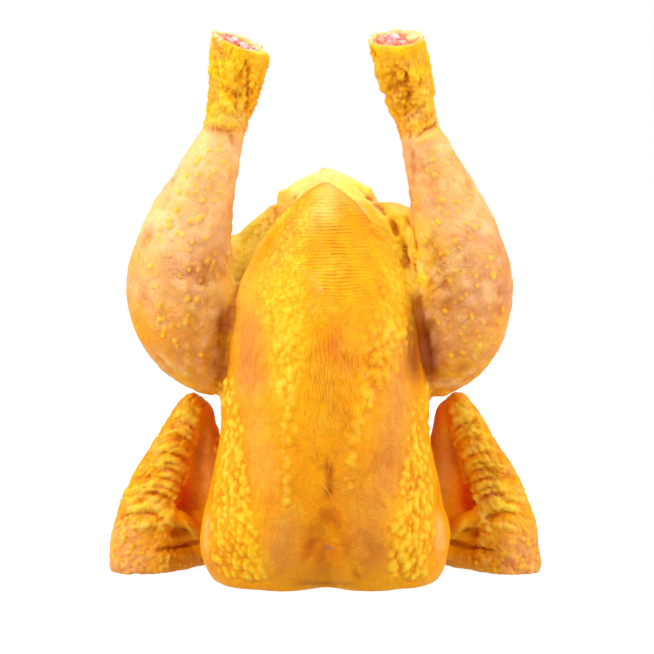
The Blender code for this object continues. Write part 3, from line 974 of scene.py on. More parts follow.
        # gold over the lemon fat: painted shade in the creases
        crease_shade = ((SkinPaint.GOLD, 0.5),)
        strokes = [
            # lemon fat, with cream as painted highlight on the tail's top and the left flank
            Stroke(((-28, 208), (-8, 214), (4, 218), (18, 213), (32, 210)), 11, paint=((SkinPaint.LEMON, 1.0), (SkinPaint.CREAM, 0.7))),
            Stroke(((-14, 218), (0, 222), (16, 220)), 8, paint=((SkinPaint.CREAM, 0.9),)),
            Stroke(((-30, 200), (-42, 188), (-48, 172), (-52, 150)), 17, paint=((SkinPaint.LEMON, 1.0), (SkinPaint.CREAM, 0.3))),
            # lemon on the swell, partly painted highlight
            Stroke(((-46, 170), (-41, 184), (-33, 195)), 6.5, 2.2, paint=((SkinPaint.LEMON, 0.8),)),
            Stroke(((14, 215), (26, 211)), 6, paint=((SkinPaint.LEMON, 0.8),)),
            Stroke(((30, 206), (43, 192), (50, 176), (53, 150)), 16, paint=((SkinPaint.LEMON, 1.0), (SkinPaint.YOLK, 0.3))),
            Stroke(((-26, 205), (-20, 205), (-14, 209)), 1.5, -0.8, paint=crease_shade),
            Stroke(((18, 205), (26, 207), (33, 208)), 1.5, -0.8, paint=crease_shade),
            Stroke(((43, 190), (46, 179), (47, 168)), 4.5, 1.6, paint=((SkinPaint.YOLK, 0.9),)),
            Stroke(((-26, 208), (-20, 209)), 3.0, 2.0),
            Stroke(((22, 211), (30, 210)), 3.0, 2.0),
            Stroke(((-2, 222), (0, 222)), 2.0, 1.3, paint=((SkinPaint.AMBER, 0.3),)),
            Stroke(((34, 199), (32.5, 193), (35, 187), (38, 182)), 1.5, 1.3, taper=(0.2, 0.2)),
            Stroke(((36, 201), (41.5, 195), (41.5, 188), (39, 182)), 1.6, 1.5, taper=(0.2, 0.2)),
            # gold and amber in these creases: painted shade
            Stroke(((36.5, 197), (37.5, 191), (38, 185)), 1.1, -1.4, paint=((SkinPaint.GOLD, 0.5),)),
            Stroke(((43, 199), (47, 190), (49, 178)), 1.5, -1.2, taper=(0.1, 0.6), paint=((SkinPaint.GOLD, 0.5),)),
            Stroke(((-29, 197), (-38, 189), (-47, 177)), 1.8, -0.8, taper=(0.2, 0.4), paint=((SkinPaint.AMBER, 0.2),)),
            Stroke(((-30, 203), (-39, 196), (-46, 187)), 2.2, 0.8, taper=(0.2, 0.2)),
        ]
        for k in range(7):  # wrinkles that fan out under the fold
            low = 181 - 2.6 * k
            strokes.append(Stroke(((38 + 0.8 * k, low), (50, low - 1.5 - 0.7 * k)), 1.1, -0.9, taper=(0.2, 0.2)))
        for k in range(6):  # and those that run down the left flank
            top = (-28 - 4.2 * k, 204 - 4.4 * k)
            strokes.append(Stroke((top, (top[0] + 1, top[1] - 7), (top[0] - 2, top[1] - 14)), 1.3, -1.0, taper=(0.2, 0.1)))
        return strokes

    def _legs(self) -> list[Stroke]:
        """The drumsticks' tendons, bruises and the folds where the hocks' sleeves begin, with their painted shade."""
        tendon, bruise = ((SkinPaint.PINK, 0.9),), ((SkinPaint.OLIVE, 0.3), (SkinPaint.AMBER, 0.5))
        return [
            Stroke(((-45, 249), (-47, 228), (-48, 206)), 1.6, 0.9, taper=(0.5, 0.1), paint=tendon),
            Stroke(((-50, 246), (-51, 226), (-52, 205)), 2.2, -0.5, taper=(0.4, 0.1)),
            Stroke(((42, 243), (43, 226), (43, 210)), 1.7, 1.0, taper=(0.5, 0.1), paint=tendon),
            Stroke(((46, 240), (47, 224), (48, 208)), 2.2, -0.5, taper=(0.6, 0.1)),
            # painted shade in the creases where the sleeves begin
            Stroke(((-67, 241), (-60, 244), (-52, 242)), 1.5, -0.3, taper=(0.5, 0.2), paint=((SkinPaint.AMBER, 0.25),)),
            Stroke(((-67, 245), (-60, 247.5), (-51, 246)), 1.8, 0.8),
            Stroke(((50, 240), (54, 243), (60, 247)), 1.3, -1.6, taper=(0.6, 0.8), paint=((SkinPaint.RUST, 0.4),)),
            Stroke(((50, 237), (55, 239.5), (62, 243)), 2.0, 1.0),
            Stroke(((-42, 281), (-41, 268), (-43, 254)), 1.7, -1.0, taper=(0.3, 0.2)),
            # painted shade in the groove
            Stroke(((45, 280), (44, 268), (47, 254)), 1.6, -1.0, taper=(0.3, 0.3), paint=((SkinPaint.AMBER, 0.5),)),
            Stroke(((-46, 275), (-45, 266), (-48, 257)), 4.0, -0.8, taper=(0.4, 0.4), paint=bruise),
            Stroke(((39, 278), (38, 268), (41, 256)), 3.8, -0.8, taper=(0.4, 0.4), paint=bruise),
            Stroke(((33, 278), (37, 262), (43, 246)), 5, paint=((SkinPaint.AMBER, 0.7),)),
            Stroke(((46, 272), (50, 256)), 6, paint=((SkinPaint.AMBER, 0.4),)),
            # painted shadow along the drumsticks' inner edges, where they meet the breast
            Stroke(((-56, 152), (-56, 128), (-60, 106)), 5.5, paint=((SkinPaint.RUST, 0.9),)),
            Stroke(((56, 150), (57, 128), (60, 108)), 4.5, paint=((SkinPaint.RUST, 0.7),)),
            # painted shade in the drumsticks' broad creases
            Stroke(((-60, 185), (-66, 160), (-70, 135)), 7, -0.5, taper=(0.2, 0.2), paint=((SkinPaint.AMBER, 0.25),)),
            Stroke(((58, 185), (64, 160), (68, 135)), 7, -0.5, taper=(0.2, 0.2), paint=((SkinPaint.AMBER, 0.25),)),
        ]

    def _wings(self) -> list[Stroke]:
        """The forearm's jagged edge, the wrist and the folds inside the wing, with painted highlight, shade and glow.
        """
        inner_line = ((-70, 92), (-71, 76), (-74, 65), (-77, 56), (-81, 46), (-85, 36), (-90, 24))
        inner = smooth_path(inner_line, 17)
        chance = np.random.default_rng(7)
        strokes: list[Stroke] = []
        for x, z in inner:
            size, drift = chance.uniform(0.5, 1.3), chance.uniform(-1.2, 1.2)
            strokes.append(Stroke(((x + 0.8 + drift, z),), 1.8, 1.6 * size, paint=((SkinPaint.BUTTER, 1.0),)))
        outer = ((-74, 102), (-86, 84), (-96, 68), (-105, 55), (-110, 41), (-114, 26))
        for k, share in enumerate(np.linspace(0.0, 0.96, 31)):
            t = float(np.clip(share + chance.uniform(-0.02, 0.02), 0, 1))
            start, end = at_share(inner_line, t * 0.94), at_share(outer, min(t * 0.88 + 0.12, 1))
            end = start + (end - start) * chance.uniform(0.55, 1.05)
            bow = (start + end) / 2 + np.array((chance.uniform(-1, 1), chance.uniform(1.5, 4.5)))
            arch = tuple(tuple(map(float, p)) for p in (start, (start + bow) / 2 + (0, 0.8), bow, end))
            roll = chance.uniform(0.6, 1.2)
            # troughs: painted shade with a little painted glow; crests: painted highlight
            if k % 2:
                strokes.append(Stroke(arch, 1.0, -1.3 * roll, taper=(0.5, 0.2), paint=((SkinPaint.RUST, 0.25), (SkinPaint.GLOW, 0.15))))
            else:
                strokes.append(Stroke(arch, 1.6, 1.4 * roll, taper=(0.7, 0.3), paint=((SkinPaint.LEMON, 0.45),)))
        for x, z in ((-85, 63.5), (-88, 61), (-91, 58.5), (-94, 55)):
            strokes.append(Stroke(((x - 3, z - 1.5), (x + 3, z + 0.5)), 1.3, -0.4, paint=((SkinPaint.OLIVE, 0.45),)))
        strokes += [
            Stroke(((-72, 97), (-75, 88), (-77, 80)), 4, paint=((SkinPaint.LEMON, 0.6),)),
            # painted glow at the upper arm's edge
            Stroke(((-63, 96), (-58, 84), (-57, 72)), 4, paint=((SkinPaint.GLOW, 0.5),)),
            # painted shade in the wrist's creases
            Stroke(((-90, 16.5), (-80, 18.5), (-68, 21)), 1.4, -2.0, taper=(0.4, 1), paint=((SkinPaint.RUST, 0.6),)),
            Stroke(((-88, 21.5), (-79, 23), (-71, 25)), 2.2, 0.9, paint=((SkinPaint.BUTTER, 0.7),)),
            Stroke(((-87, 37), (-82, 31), (-75, 27)), 1.4, 1.3, paint=((SkinPaint.BUTTER, 1.0),)),
            Stroke(((-84, 34), (-79, 29), (-73, 26)), 1.0, -1.3, paint=((SkinPaint.RUST, 0.5),)),
            Stroke(((-77, 34), (-74, 30), (-71, 26), (-68, 21)), 1.5, 1.6, paint=((SkinPaint.BUTTER, 1.0),)),
            # painted shade on the forearm's inner side
            Stroke(((-68, 90), (-67, 76), (-70, 62)), 3.4, paint=((SkinPaint.AMBER, 0.4),)),
            Stroke(((-61, 84), (-60, 60), (-62, 34)), 3.4, paint=((SkinPaint.AMBER, 0.6),)),
            # painted glow in the web
            Stroke(((-77, 55), (-76, 45), (-79, 37)), 3.4, paint=((SkinPaint.GLOW, 0.9),)),
            Stroke(((-80, 8), (-92, 5)), 6, paint=((SkinPaint.GOLD, 0.4),)),
        ]
        return strokes + [stroke.mirrored() for stroke in strokes]

    def _back(self) -> list[Stroke]:
        """The spine's valley, the pelvis and the folds at the shoulders, with their painted shade and highlight."""
        back = Side.BACK
        return [
            Stroke(((0, 178), (0, 120), (0, 60)), 15, side=back, paint=((SkinPaint.BUTTER, 0.7),)),
            # painted shade in the spine's valley
            Stroke(((0, 172), (1, 130), (-1, 96)), 1.8, -0.7, back, (0.2, 0.2), ((SkinPaint.AMBER, 0.2),)),
            Stroke(((-40, 70), (-34, 44), (-30, 16)), 12, side=back, paint=((SkinPaint.TAN, 0.5),)),
            Stroke(((40, 70), (34, 44), (30, 16)), 12, side=back, paint=((SkinPaint.TAN, 0.5),)),
            # painted shade in the fold below the tail
            Stroke(((-22, 204), (0, 199), (22, 204)), 2.0, -1.0, back, paint=((SkinPaint.AMBER, 0.4),)),
            # painted highlight on the tail's top
            Stroke(((-16, 214), (0, 221), (16, 214)), 9, side=back, paint=((SkinPaint.CREAM, 0.6),)),
            # painted shade in the folds
            Stroke(((-20, 20), (0, 14), (20, 20)), 2.2, -0.9, back, paint=((SkinPaint.AMBER, 0.4),)),
            Stroke(((-22, 32), (0, 27), (22, 32)), 2.0, -0.6, back, paint=((SkinPaint.AMBER, 0.3),)),
            Stroke(((-34, 190), (-58, 172), (-66, 140), (-54, 112)), 3.0, -1.1, back, (0.2, 0.4), ((SkinPaint.AMBER, 0.5),)),
            Stroke(((34, 190), (58, 172), (66, 140), (54, 112)), 3.0, -1.1, back, (0.2, 0.4), ((SkinPaint.AMBER, 0.5),)),
            Stroke(((-20, 150), (-30, 128), (-42, 112)), 2.4, -0.9, back, (0.1, 0.4), ((SkinPaint.AMBER, 0.3),)),
            Stroke(((20, 150), (30, 128), (42, 112)), 2.4, -0.9, back, (0.1, 0.4), ((SkinPaint.AMBER, 0.3),)),
            Stroke(((-46, 84), (-44, 50), (-46, 24)), 7, 0.9, back, paint=((SkinPaint.BLUSH, 0.35),)),
            Stroke(((46, 84), (44, 50), (46, 24)), 7, 0.9, back, paint=((SkinPaint.BLUSH, 0.35),)),
        ]

    def _in_cut(self, shank: Shank) -> np.ndarray:
        """Every point's place in the cut: across, front to back and out of it."""
        return (self.clay.places - np.array(shank.cut)) @ np.array(shank.frame().to_3x3())

    def _under_cut(self, shank: Shank) -> np.ndarray:
        """How much of each point of a hock is left rough: all but what faces out of the cut."""
        out = self._in_cut(shank)[:, 2]
        facing = self.clay.normals @ np.array(shank.frame().to_3x3())[:, 2]
        walls = np.clip((0.55 - facing) / 0.35, 0, 1) * (np.hypot(*self._in_cut(shank)[:, :2].T) > 8)
        walls = np.where(out < -12, 1.0, walls)
        return np.clip((0.6 - out) / 2.4, 0, 1) * walls * (shank.hock().weights(self.clay.places) > 0)

    def _open_cuts(self) -> None:
        """Colours the inside of the cuts and their pale edge."""
        for shank in SHANKS:
            across, depth, out = self._in_cut(shank).T
            middle = np.clip(3.2 - 3.4 * np.hypot(across / 14.6, depth / 12.2), 0, 1) * (out > -9) * (out < 4)
            edge = np.clip(1.4 + out / 1.8, 0, 1) * (np.hypot(across, depth) < 22) * (out < 4)
            self.clay.wash(edge * np.clip(0.4 + depth / 8, 0, 1), SkinPaint.BLUSH, 1.0)
            self.clay.wash(middle, SkinPaint.RAW, 1.0)

    def _knobble(self) -> None:
        """Crumples the hocks and the forearms, and makes the rest faintly uneven."""
        clay = self.clay
        hocks = sum(shank.hock().weights(clay.places) for shank in SHANKS)
        below = sum(self._under_cut(shank) for shank in SHANKS)
        clay.billow(hocks * below, (2.6, 2.6, 3.4), 0.95, seed=3.0)
        clay.billow(hocks * below, (7.0, 7.0, 11.0), 0.9, seed=13.0)
        clay.swell(hocks * below, 9.0, 1.0, 17.0)
        for part, turn in ((FOREARM, 30.0), (FOREARM.mirrored(), -30.0)):
            folds = part.weights(clay.places)
            bumps = (WRIST if turn > 0 else WRIST.mirrored()).weights(clay.places)
            front = np.clip(0.55 - 0.6 * clay.normals[:, 1], 0.25, 1)
            clay.billow(folds * (1 - bumps) * front, (9.0, 7.0, 3.4), 1.0, turn, 8.0)
            clay.billow(folds * bumps, (4.5, 4.0, 3.6), 1.0, seed=2.0)
            clay.billow(folds * (1 - bumps) * front, (4.5, 4.0, 2.2), 0.7, turn, 28.0)
        for part in (HAND, HAND.mirrored()):
            clay.billow(part.weights(clay.places), (9.0, 4.0, 4.0), 0.9, seed=5.0)
        legs = np.clip(sum(shank.meat().weights(clay.places) for shank in SHANKS), 0, 1)
        clay.swell(np.ones(len(legs)), 16.0, 0.8, 5.0)
        clay.swell(legs, 6.0, 0.7, 11.0)
        x, y, z = clay.places.T
        trunk = np.clip(-clay.normals[:, 1] * 1.6, 0, 1) * np.clip((62 - abs(x)) / 6, 0, 1) * (1 - legs)
        clay.billow(trunk * np.clip((150 - z) / 20, 0, 1) * np.clip(z / 40, 0.3, 1), (4.2, 4.2, 11.0), 0.4, seed=31.0)
        clay.billow(trunk * np.clip((z - 130) / 20, 0, 1), (8.0, 4.2, 3.4), 0.35, seed=37.0)
        clay.billow(legs, (5.0, 5.0, 7.0), 0.25, seed=41.0)
        for shank in SHANKS:
            low = shank.meat().weights(clay.places) * np.clip((190 - clay.places[:, 2]) / 30, 0, 1)
            clay.billow(low, (14.0, 10.0, 5.0), 0.5, 40.0 * shank.side, 21.0)


@dataclass
class Follicles:
    """The plucked feathers' follicles, in tracts as they grow on the bird."""

    seed: int = 11

    def beads(self) -> list[Bead]:
        """All follicles.

        Returns:
            The beads.
        """
        self.chance = np.random.default_rng(self.seed)
        return self._breast() + self._legs() + self._hocks() + self._wings() + self._back()

    def _tract(self, first: tuple[Place, ...], second: tuple[Place, ...], gap: float, like: Bead,
               stray: float = 0.35, keep: float = 1.0) -> list[Bead]:
        """Fills the strip between two edges with staggered beads.

        Args:
            first: The places along one edge, top first.
            second: The places along the other edge.
            gap: How far apart the beads are.
            like: What the beads are like.
            stray: How far a bead strays, as a share of the gap.
            keep: The share of the beads that are there.

        Returns:
            The beads.
        """
        length = (path_length(first) + path_length(second)) / 2
        rows = max(2, round(length / (gap * 0.87)))
        one, two = smooth_path(first, rows), smooth_path(second, rows)
        beads = []
        for row in range(rows):
            width = float(np.linalg.norm(two[row] - one[row]))
            count = max(1, round(width / gap))
            for k in range(count):
                across = (k + 0.25 + 0.5 * (row % 2) + self.chance.uniform(-stray, stray)) / count
                shift = self.chance.uniform(-stray, stray) * gap
                size, there = self.chance.uniform(0.6, 1.3), self.chance.random() < keep
                if not there:
                    continue
                x, z = one[row] * (1 - across) + two[row] * across
                fade = 0.55 + 0.45 * math.sin(math.pi * min(max(across, 0), 1))
                beads.append(
                    replace(
                        like,
                        place=(float(x), float(z) + shift),
                        radius=like.radius * size,
                        height=like.height * size * fade,
                        stretch=like.stretch * self.chance.uniform(0.85, 1.2),
                        lean=like.lean + self.chance.uniform(-15, 15),
                    )
                )
        return beads

    def _breast(self) -> list[Bead]:
        """The inner tracts beside the keel and the outer ones along the breast's edge."""
        round_bead = Bead((0, 0), Side.FRONT, 1.9, 1.1, 1.15, 10, SkinPaint.YOLK, 0.6)
        scale = replace(round_bead, radius=1.9, height=1.15, stretch=1.35, lean=25)
        soft = replace(round_bead, radius=2.0, height=0.7, stretch=1.2, cover=0.25)
        crumb = replace(round_bead, radius=1.4, height=0.8, stretch=1.1, cover=0.35)
        beads = []
        edges = ((-56, 106), (-57, 98), (-58, 82), (-59, 65), (-60, 49), (-61, 36))
        inner = ((-51, 110), (-48, 98), (-45, 82), (-43, 65), (-41, 49), (-39, 36))
        beads += self._tract(edges, inner, 3.5, round_bead)
        beads += self._tract(((-61, 36), (-62, 17), (-56, 3)), ((-39, 36), (-35, 17), (-32, 3)), 3.8, scale)
        edges = ((56, 103), (57, 92), (57, 76), (57, 60), (58, 44))
        inner = ((53, 104), (49, 95), (46, 82), (43, 65), (40, 49))
        beads += self._tract(edges, inner, 3.5, replace(round_bead, lean=-10))
        beads += self._tract(((58, 46), (59, 24), (55, 3)), ((41, 46), (37, 24), (33, 3)), 3.8, replace(scale, lean=-25))
        edges = ((-18, 206), (-26, 190), (-32, 173), (-36, 157), (-36, 144))
        inner = ((-8, 204), (-9, 190), (-10, 173), (-11, 157), (-12, 144))
        beads += self._tract(edges, inner, 2.8, crumb, 0.4, 0.85)
        edges = ((-36, 146), (-33, 136), (-29, 124), (-29, 109), (-25, 94))
        inner = ((-12, 146), (-11, 136), (-9, 124), (-12, 109), (-15, 94))
        beads += self._tract(edges, inner, 3.8, soft, 0.4, 0.95)
        beads += self._tract(((24, 190), (30, 176)), ((33, 192), (40, 180)), 2.9, crumb, 0.4, 0.8)
        inner = ((31, 173), (30, 157), (25, 141), (20, 127), (19, 109), (16, 92))
        edges = ((44, 175), (47, 157), (48, 141), (43, 127), (37, 114), (26, 98))
        beads += self._tract(inner, edges, 4.0, replace(soft, lean=-15), 0.4, 0.9)
        beads += self._tract(((-25, 197), (-52, 178)), ((-29, 189), (-53, 168)), 3.2, crumb, 0.45, 0.85)
        beads += self._tract(((-25, 94), (-24, 70), (-22, 44)), ((-15, 94), (-18, 70), (-20, 44)), 4.6, soft, 0.4, 0.8)
        beads += self._tract(((16, 92), (13, 72), (10, 48)), ((26, 98), (18, 76), (13, 48)), 4.4, soft, 0.4, 0.85)
        pit = Bead((0, 0), Side.FRONT, 0.8, -0.7, 1.0, 0, SkinPaint.PINK, 0.7)
        pits = ((-20, 100), (-23, 80), (-12, 90), (-21, 76), (-14, 78), (-21, 67), (-21, 57), (-21, 48))
        pits += ((23, 124), (27, 118), (22, 111), (27, 103), (17, 104), (25, 97), (23, 89), (17, 85), (12, 71), (10, 63))
        return beads + [replace(pit, place=place) for place in pits]

    def _legs(self) -> list[Bead]:
        """Sparse beads on the drumsticks."""
        bead = Bead((0, 0), Side.FRONT, 1.3, 1.15, 1.25, -20, SkinPaint.BUTTER, 1.0)
        outer = ((-66, 240), (-80, 215), (-97, 180), (-103, 155), (-98, 128))
        inner = ((-50, 242), (-49, 215), (-50, 180), (-56, 155), (-64, 122))
        beads = []
        for side in (Side.FRONT, Side.BACK):
            left = self._tract(outer, inner, 6.0, replace(bead, side=side), 0.4, 0.85)
            right = self._tract(flip(outer), flip(inner), 6.0, replace(bead, side=side, lean=20), 0.4, 0.85)
            faint = self.chance.uniform(0.3, 1.0, len(left) + len(right))
            beads += [replace(b, height=b.height * f, cover=f) for b, f in zip(left + right, faint)]
        return beads

    def _hocks(self) -> list[Bead]:
        """Crowded knobs on the hocks' sleeves, on all sides."""
        knob = Bead((0, 0), Side.FRONT, 1.4, 0.7, 1.3, 0, SkinPaint.YOLK, 0.35)
        beads = []
        for side, mirror in ((Side.FRONT, False), (Side.BACK, True)):
            for one, two in (
                (((-61, 281), (-60, 264), (-66, 247)), ((-33, 272), (-36, 262), (-45, 247))),
                (((25, 279), (31, 264), (40, 247)), ((52, 280), (54, 264), (60, 250))),
            ):
                one, two = (flip(one), flip(two)) if mirror else (one, two)
                beads += self._tract(one, two, 3.4, replace(knob, side=side), 0.5, 0.7)
        return beads

    def _wings(self) -> list[Bead]:
        """Small knobs on the wrists and hands."""
        knob = Bead((0, 0), Side.FRONT, 1.1, 0.55, 1.2, 0, SkinPaint.BUTTER, 0.7)
        beads = []
        for one, two in (
            (((-115, 34), (-118, 18), (-112, 3)), ((-98, 36), (-94, 18), (-88, 2))),
            (((-96, 13), (-80, 14), (-70, 15)), ((-94, 2), (-82, 1), (-74, 5))),
        ):
            beads += self._tract(one, two, 3.3, knob, 0.5, 0.75)
            beads += self._tract(flip(one), flip(two), 3.3, knob, 0.5, 0.75)
        return beads

    def _back(self) -> list[Bead]:
        """The tract down the spine and those over the shoulders."""
        bead = Bead((0, 0), Side.BACK, 1.7, 0.75, 1.1, 0, SkinPaint.BUTTER, 0.8)
        beads = self._tract(((-13, 190), (-17, 120), (-9, 30)), ((13, 190), (17, 120), (9, 30)), 4.2, bead, 0.4, 0.9)
        one, two = ((-44, 84), (-48, 60), (-50, 34)), ((-26, 84), (-30, 60), (-34, 34))
        return beads + self._tract(one, two, 4.6, bead, 0.4, 0.8) + self._tract(flip(one), flip(two), 4.6, bead, 0.4, 0.8)


# ---- tubes: folds, rims and threads ------------------------------------------------------------


def lay_tube(work: bmesh.types.BMesh, points: np.ndarray, radii: np.ndarray, sides: int, closed: bool = False) -> None:
    """Adds a round tube along the points, drawn to a tip at open ends.

    Args:
        work: Where it goes.
        points: Its line, in millimetres.
        radii: Its radius at each point.
        sides: How many sides it has.
        closed: True for a ring.
    """
    count = len(points)
    rings: list[list[bmesh.types.BMEdge]] = []
    ways = np.roll(points, -1, axis=0) - np.roll(points, 1, axis=0) if closed else np.gradient(points, axis=0)
    up = Vector((0, 0, 1))
    for k in range(count):
        way = Vector(ways[k]).normalized()
        across = way.cross(up)
        across = across.normalized() if across.length > 0.05 else way.orthogonal().normalized()
        turn = Matrix((across, across.cross(way) * -1, way)).transposed().to_4x4()
        place = Matrix.Translation(Vector(points[k]) * MM) @ turn
        made = bmesh.ops.create_circle(work, segments=sides, radius=float(radii[k]) * MM, matrix=place)
        rings.append(list({edge for vert in made["verts"] for edge in vert.link_edges}))
    pairs = list(zip(rings, rings[1:])) + ([(rings[-1], rings[0])] if closed else [])
    for one, two in pairs:
        bmesh.ops.bridge_loops(work, edges=one + two)
    if not closed:
        for ring in (rings[0], rings[-1]):
            bmesh.ops.edgeloop_fill(work, edges=ring)


@dataclass
class Threads:
    """Thin raised wrinkles and wisps of tissue that lie on the skin."""

    clay: Clay
    seed: int = 61
    sides: int = 5

    def build(self, material: bpy.types.Material) -> bpy.types.Object:
        """Lays all threads.

        Args:
            material: Their material.

        Returns:
            The piece.
        """
        work = bmesh.new()
        for path, radius in self._furrow() + self._drumsticks() + self._keel():
            points, _ = self.clay.trace(path, Side.FRONT, 1.2)
            if len(points) < 4 or np.linalg.norm(np.diff(points, axis=0), axis=1).max() > 6:
                continue
            points[:, 1] -= radius * 0.25
            share = np.linspace(0, 1, len(points))
            lay_tube(work, points, radius * np.clip(np.sin(share * math.pi) * 1.6, 0.15, 1.0), self.sides)
        bmesh.ops.recalc_face_normals(work, faces=work.faces)
        mesh = bpy.data.meshes.new("threads")
        work.to_mesh(mesh)
        work.free()
        self._paint_like_skin(mesh)
        return make_piece("threads", mesh, material)

    def _paint_like_skin(self, mesh: bpy.types.Mesh) -> None:
        """Gives the threads the skin's colour, a little paler."""
        pale = np.array(linear(SkinPaint.CREAM.value)[:3])
        rgba = np.ones((len(mesh.vertices), 4), np.float32)
        for k, vert in enumerate(mesh.vertices):
            base = self.clay.colour[self.clay.points.find(vert.co / MM)[1]]
            rgba[k, :3] = np.clip(base + (pale - base) * 0.1, 0, 1)
        painted_layer = mesh.attributes.new("dye", "FLOAT_COLOR", "POINT")
        painted_layer.data.foreach_set("color", rgba.ravel())

    def _furrow(self) -> list[tuple[tuple[Place, ...], float]]:
        """The cord of skin in the furrow and the wisps that fan out from it."""
        return [
            (((-3, 53), (1, 49), (4, 44), (5, 37)), 0.5),
            (((2, 52), (8, 53), (14, 55), (19, 55)), 0.22),
            (((3, 51), (8, 50), (13, 48), (17, 47)), 0.22),
            (((4, 50), (9, 47), (13, 44)), 0.2),
            (((1, 55), (2, 60), (2, 68)), 0.25),
        ]

    def _drumsticks(self) -> list[tuple[tuple[Place, ...], float]]:
        """Fine wavy threads on both drumsticks."""
        chance = np.random.default_rng(self.seed)
        threads = []
        for side in (-1, 1):
            for _ in range(60):
                x, z = chance.uniform(57, 100), chance.uniform(122, 178)
                tilt, length = chance.normal(0.5, 0.5), chance.uniform(4, 12)
                bend = chance.uniform(-1.5, 1.5)
                dx, dz = math.cos(tilt) * length, math.sin(tilt) * length
                path = ((x, z), (x + dx / 2 - bend, z + dz / 2 + bend), (x + dx, z + dz))
                threads.append((tuple((side * px, pz) for px, pz in path), float(chance.uniform(0.14, 0.26))))
        return threads

    def _keel(self) -> list[tuple[tuple[Place, ...], float]]:
        """Fine upright lines over the middle of the breast."""
        chance = np.random.default_rng(self.seed + 1)
        threads = []
        for _ in range(26):
            x, z = chance.normal(3, 10), chance.uniform(70, 140)
            length = chance.uniform(6, 18)
            drift = -x * 0.02 * length
            threads.append((((x, z), (x + drift / 2 + chance.uniform(-0.6, 0.6), z - length / 2), (x + drift, z - length)), 0.2))
        return threads


# ---- the cut hocks -----------------------------------------------------------------------------


class Tissue(Enum):
    """What shows in a cut joint."""

    EDGE = "edge"
    MEAT = "meat"
    GRISTLE = "gristle"
    MARROW = "marrow"


@dataclass(frozen=True)
class Morsel:
    """A soft lump in the cut: its middle and half sizes across, front to back and out of the cut."""

    tissue: Tissue
    middle: Spot
    sizes: Spot
    rough: float = 0.2


@dataclass
class HockCut:
    """The end of a drumstick where the foot was cut off through the joint."""

    shank: Shank
    morsels: tuple[Morsel, ...]
    dip: float  # how far the rim drops in front
    seed: int
    wide: float = 14.0  # half the rim's width
    deep: float = 11.6  # half its depth

    def build(self, finishes: dict[Tissue, bpy.types.Material]) -> None:
        """Makes the rim and what lies in it, one piece for each tissue.

        Args:
            finishes: The materials.
        """
        for tissue in Tissue:
            work = bmesh.new()
            if tissue is Tissue.EDGE:
                self._rim(work)
            for number, morsel in enumerate(self.morsels):
                if morsel.tissue is tissue:
                    self._lump(work, morsel, number)
            work.transform(Matrix.Scale(MM, 4) @ self.shank.frame())
            bmesh.ops.recalc_face_normals(work, faces=work.faces)
            name = f"hock_{tissue.value}_{self.shank.name}"
            mesh = bpy.data.meshes.new(name)
            work.to_mesh(mesh)
            work.free()
            make_piece(name, mesh, finishes[tissue])

    def _rim(self, work: bmesh.types.BMesh) -> None:
        """The ragged edge of skin round the cut: thick and pale at the back, dipped in front."""
        chance = np.random.default_rng(self.seed)
        turns = np.linspace(0, 2 * math.pi, 60, endpoint=False)
        wave = sum(chance.uniform(0.1, 0.35) * np.sin(turns * k + chance.uniform(0, 6)) for k in (3, 5, 8, 13, 19))
        front, back = np.clip(-np.sin(turns), 0, 1) ** 3, np.clip(np.sin(turns), 0, 1)
        across = np.cos(turns) * (self.wide - 1.0 + wave * 0.8)
        depth = np.sin(turns) * (self.deep - 1.0 + wave * 0.8)
        points = np.stack([across, depth, -1.1 + wave - front * self.dip + back * 0.6], axis=1)
        lay_tube(work, points / MM, (1.25 + 0.3 * wave + 1.2 * back) / MM, 8, closed=True)

    def _lump(self, work: bmesh.types.BMesh, morsel: Morsel, number: int) -> None:
        """Adds one lump with an uneven surface.

        Args:
            work: Where it goes.
            morsel: The lump.
            number: Its number, which sets its unevenness.
        """
        centre = Vector(morsel.middle)
        place = Matrix.Translation(centre) @ Matrix.Diagonal((*morsel.sizes, 1))
        for vert in bmesh.ops.create_icosphere(work, subdivisions=4, radius=1, matrix=place)["verts"]:
            away = vert.co - centre
            spot = vert.co / 2.6 + Vector((number * 3.7, self.seed, 0))
            swell = noise.noise(spot) + 0.6 * abs(noise.noise(spot * 2.7))
            vert.co = centre + away * (1 + morsel.rough * swell)


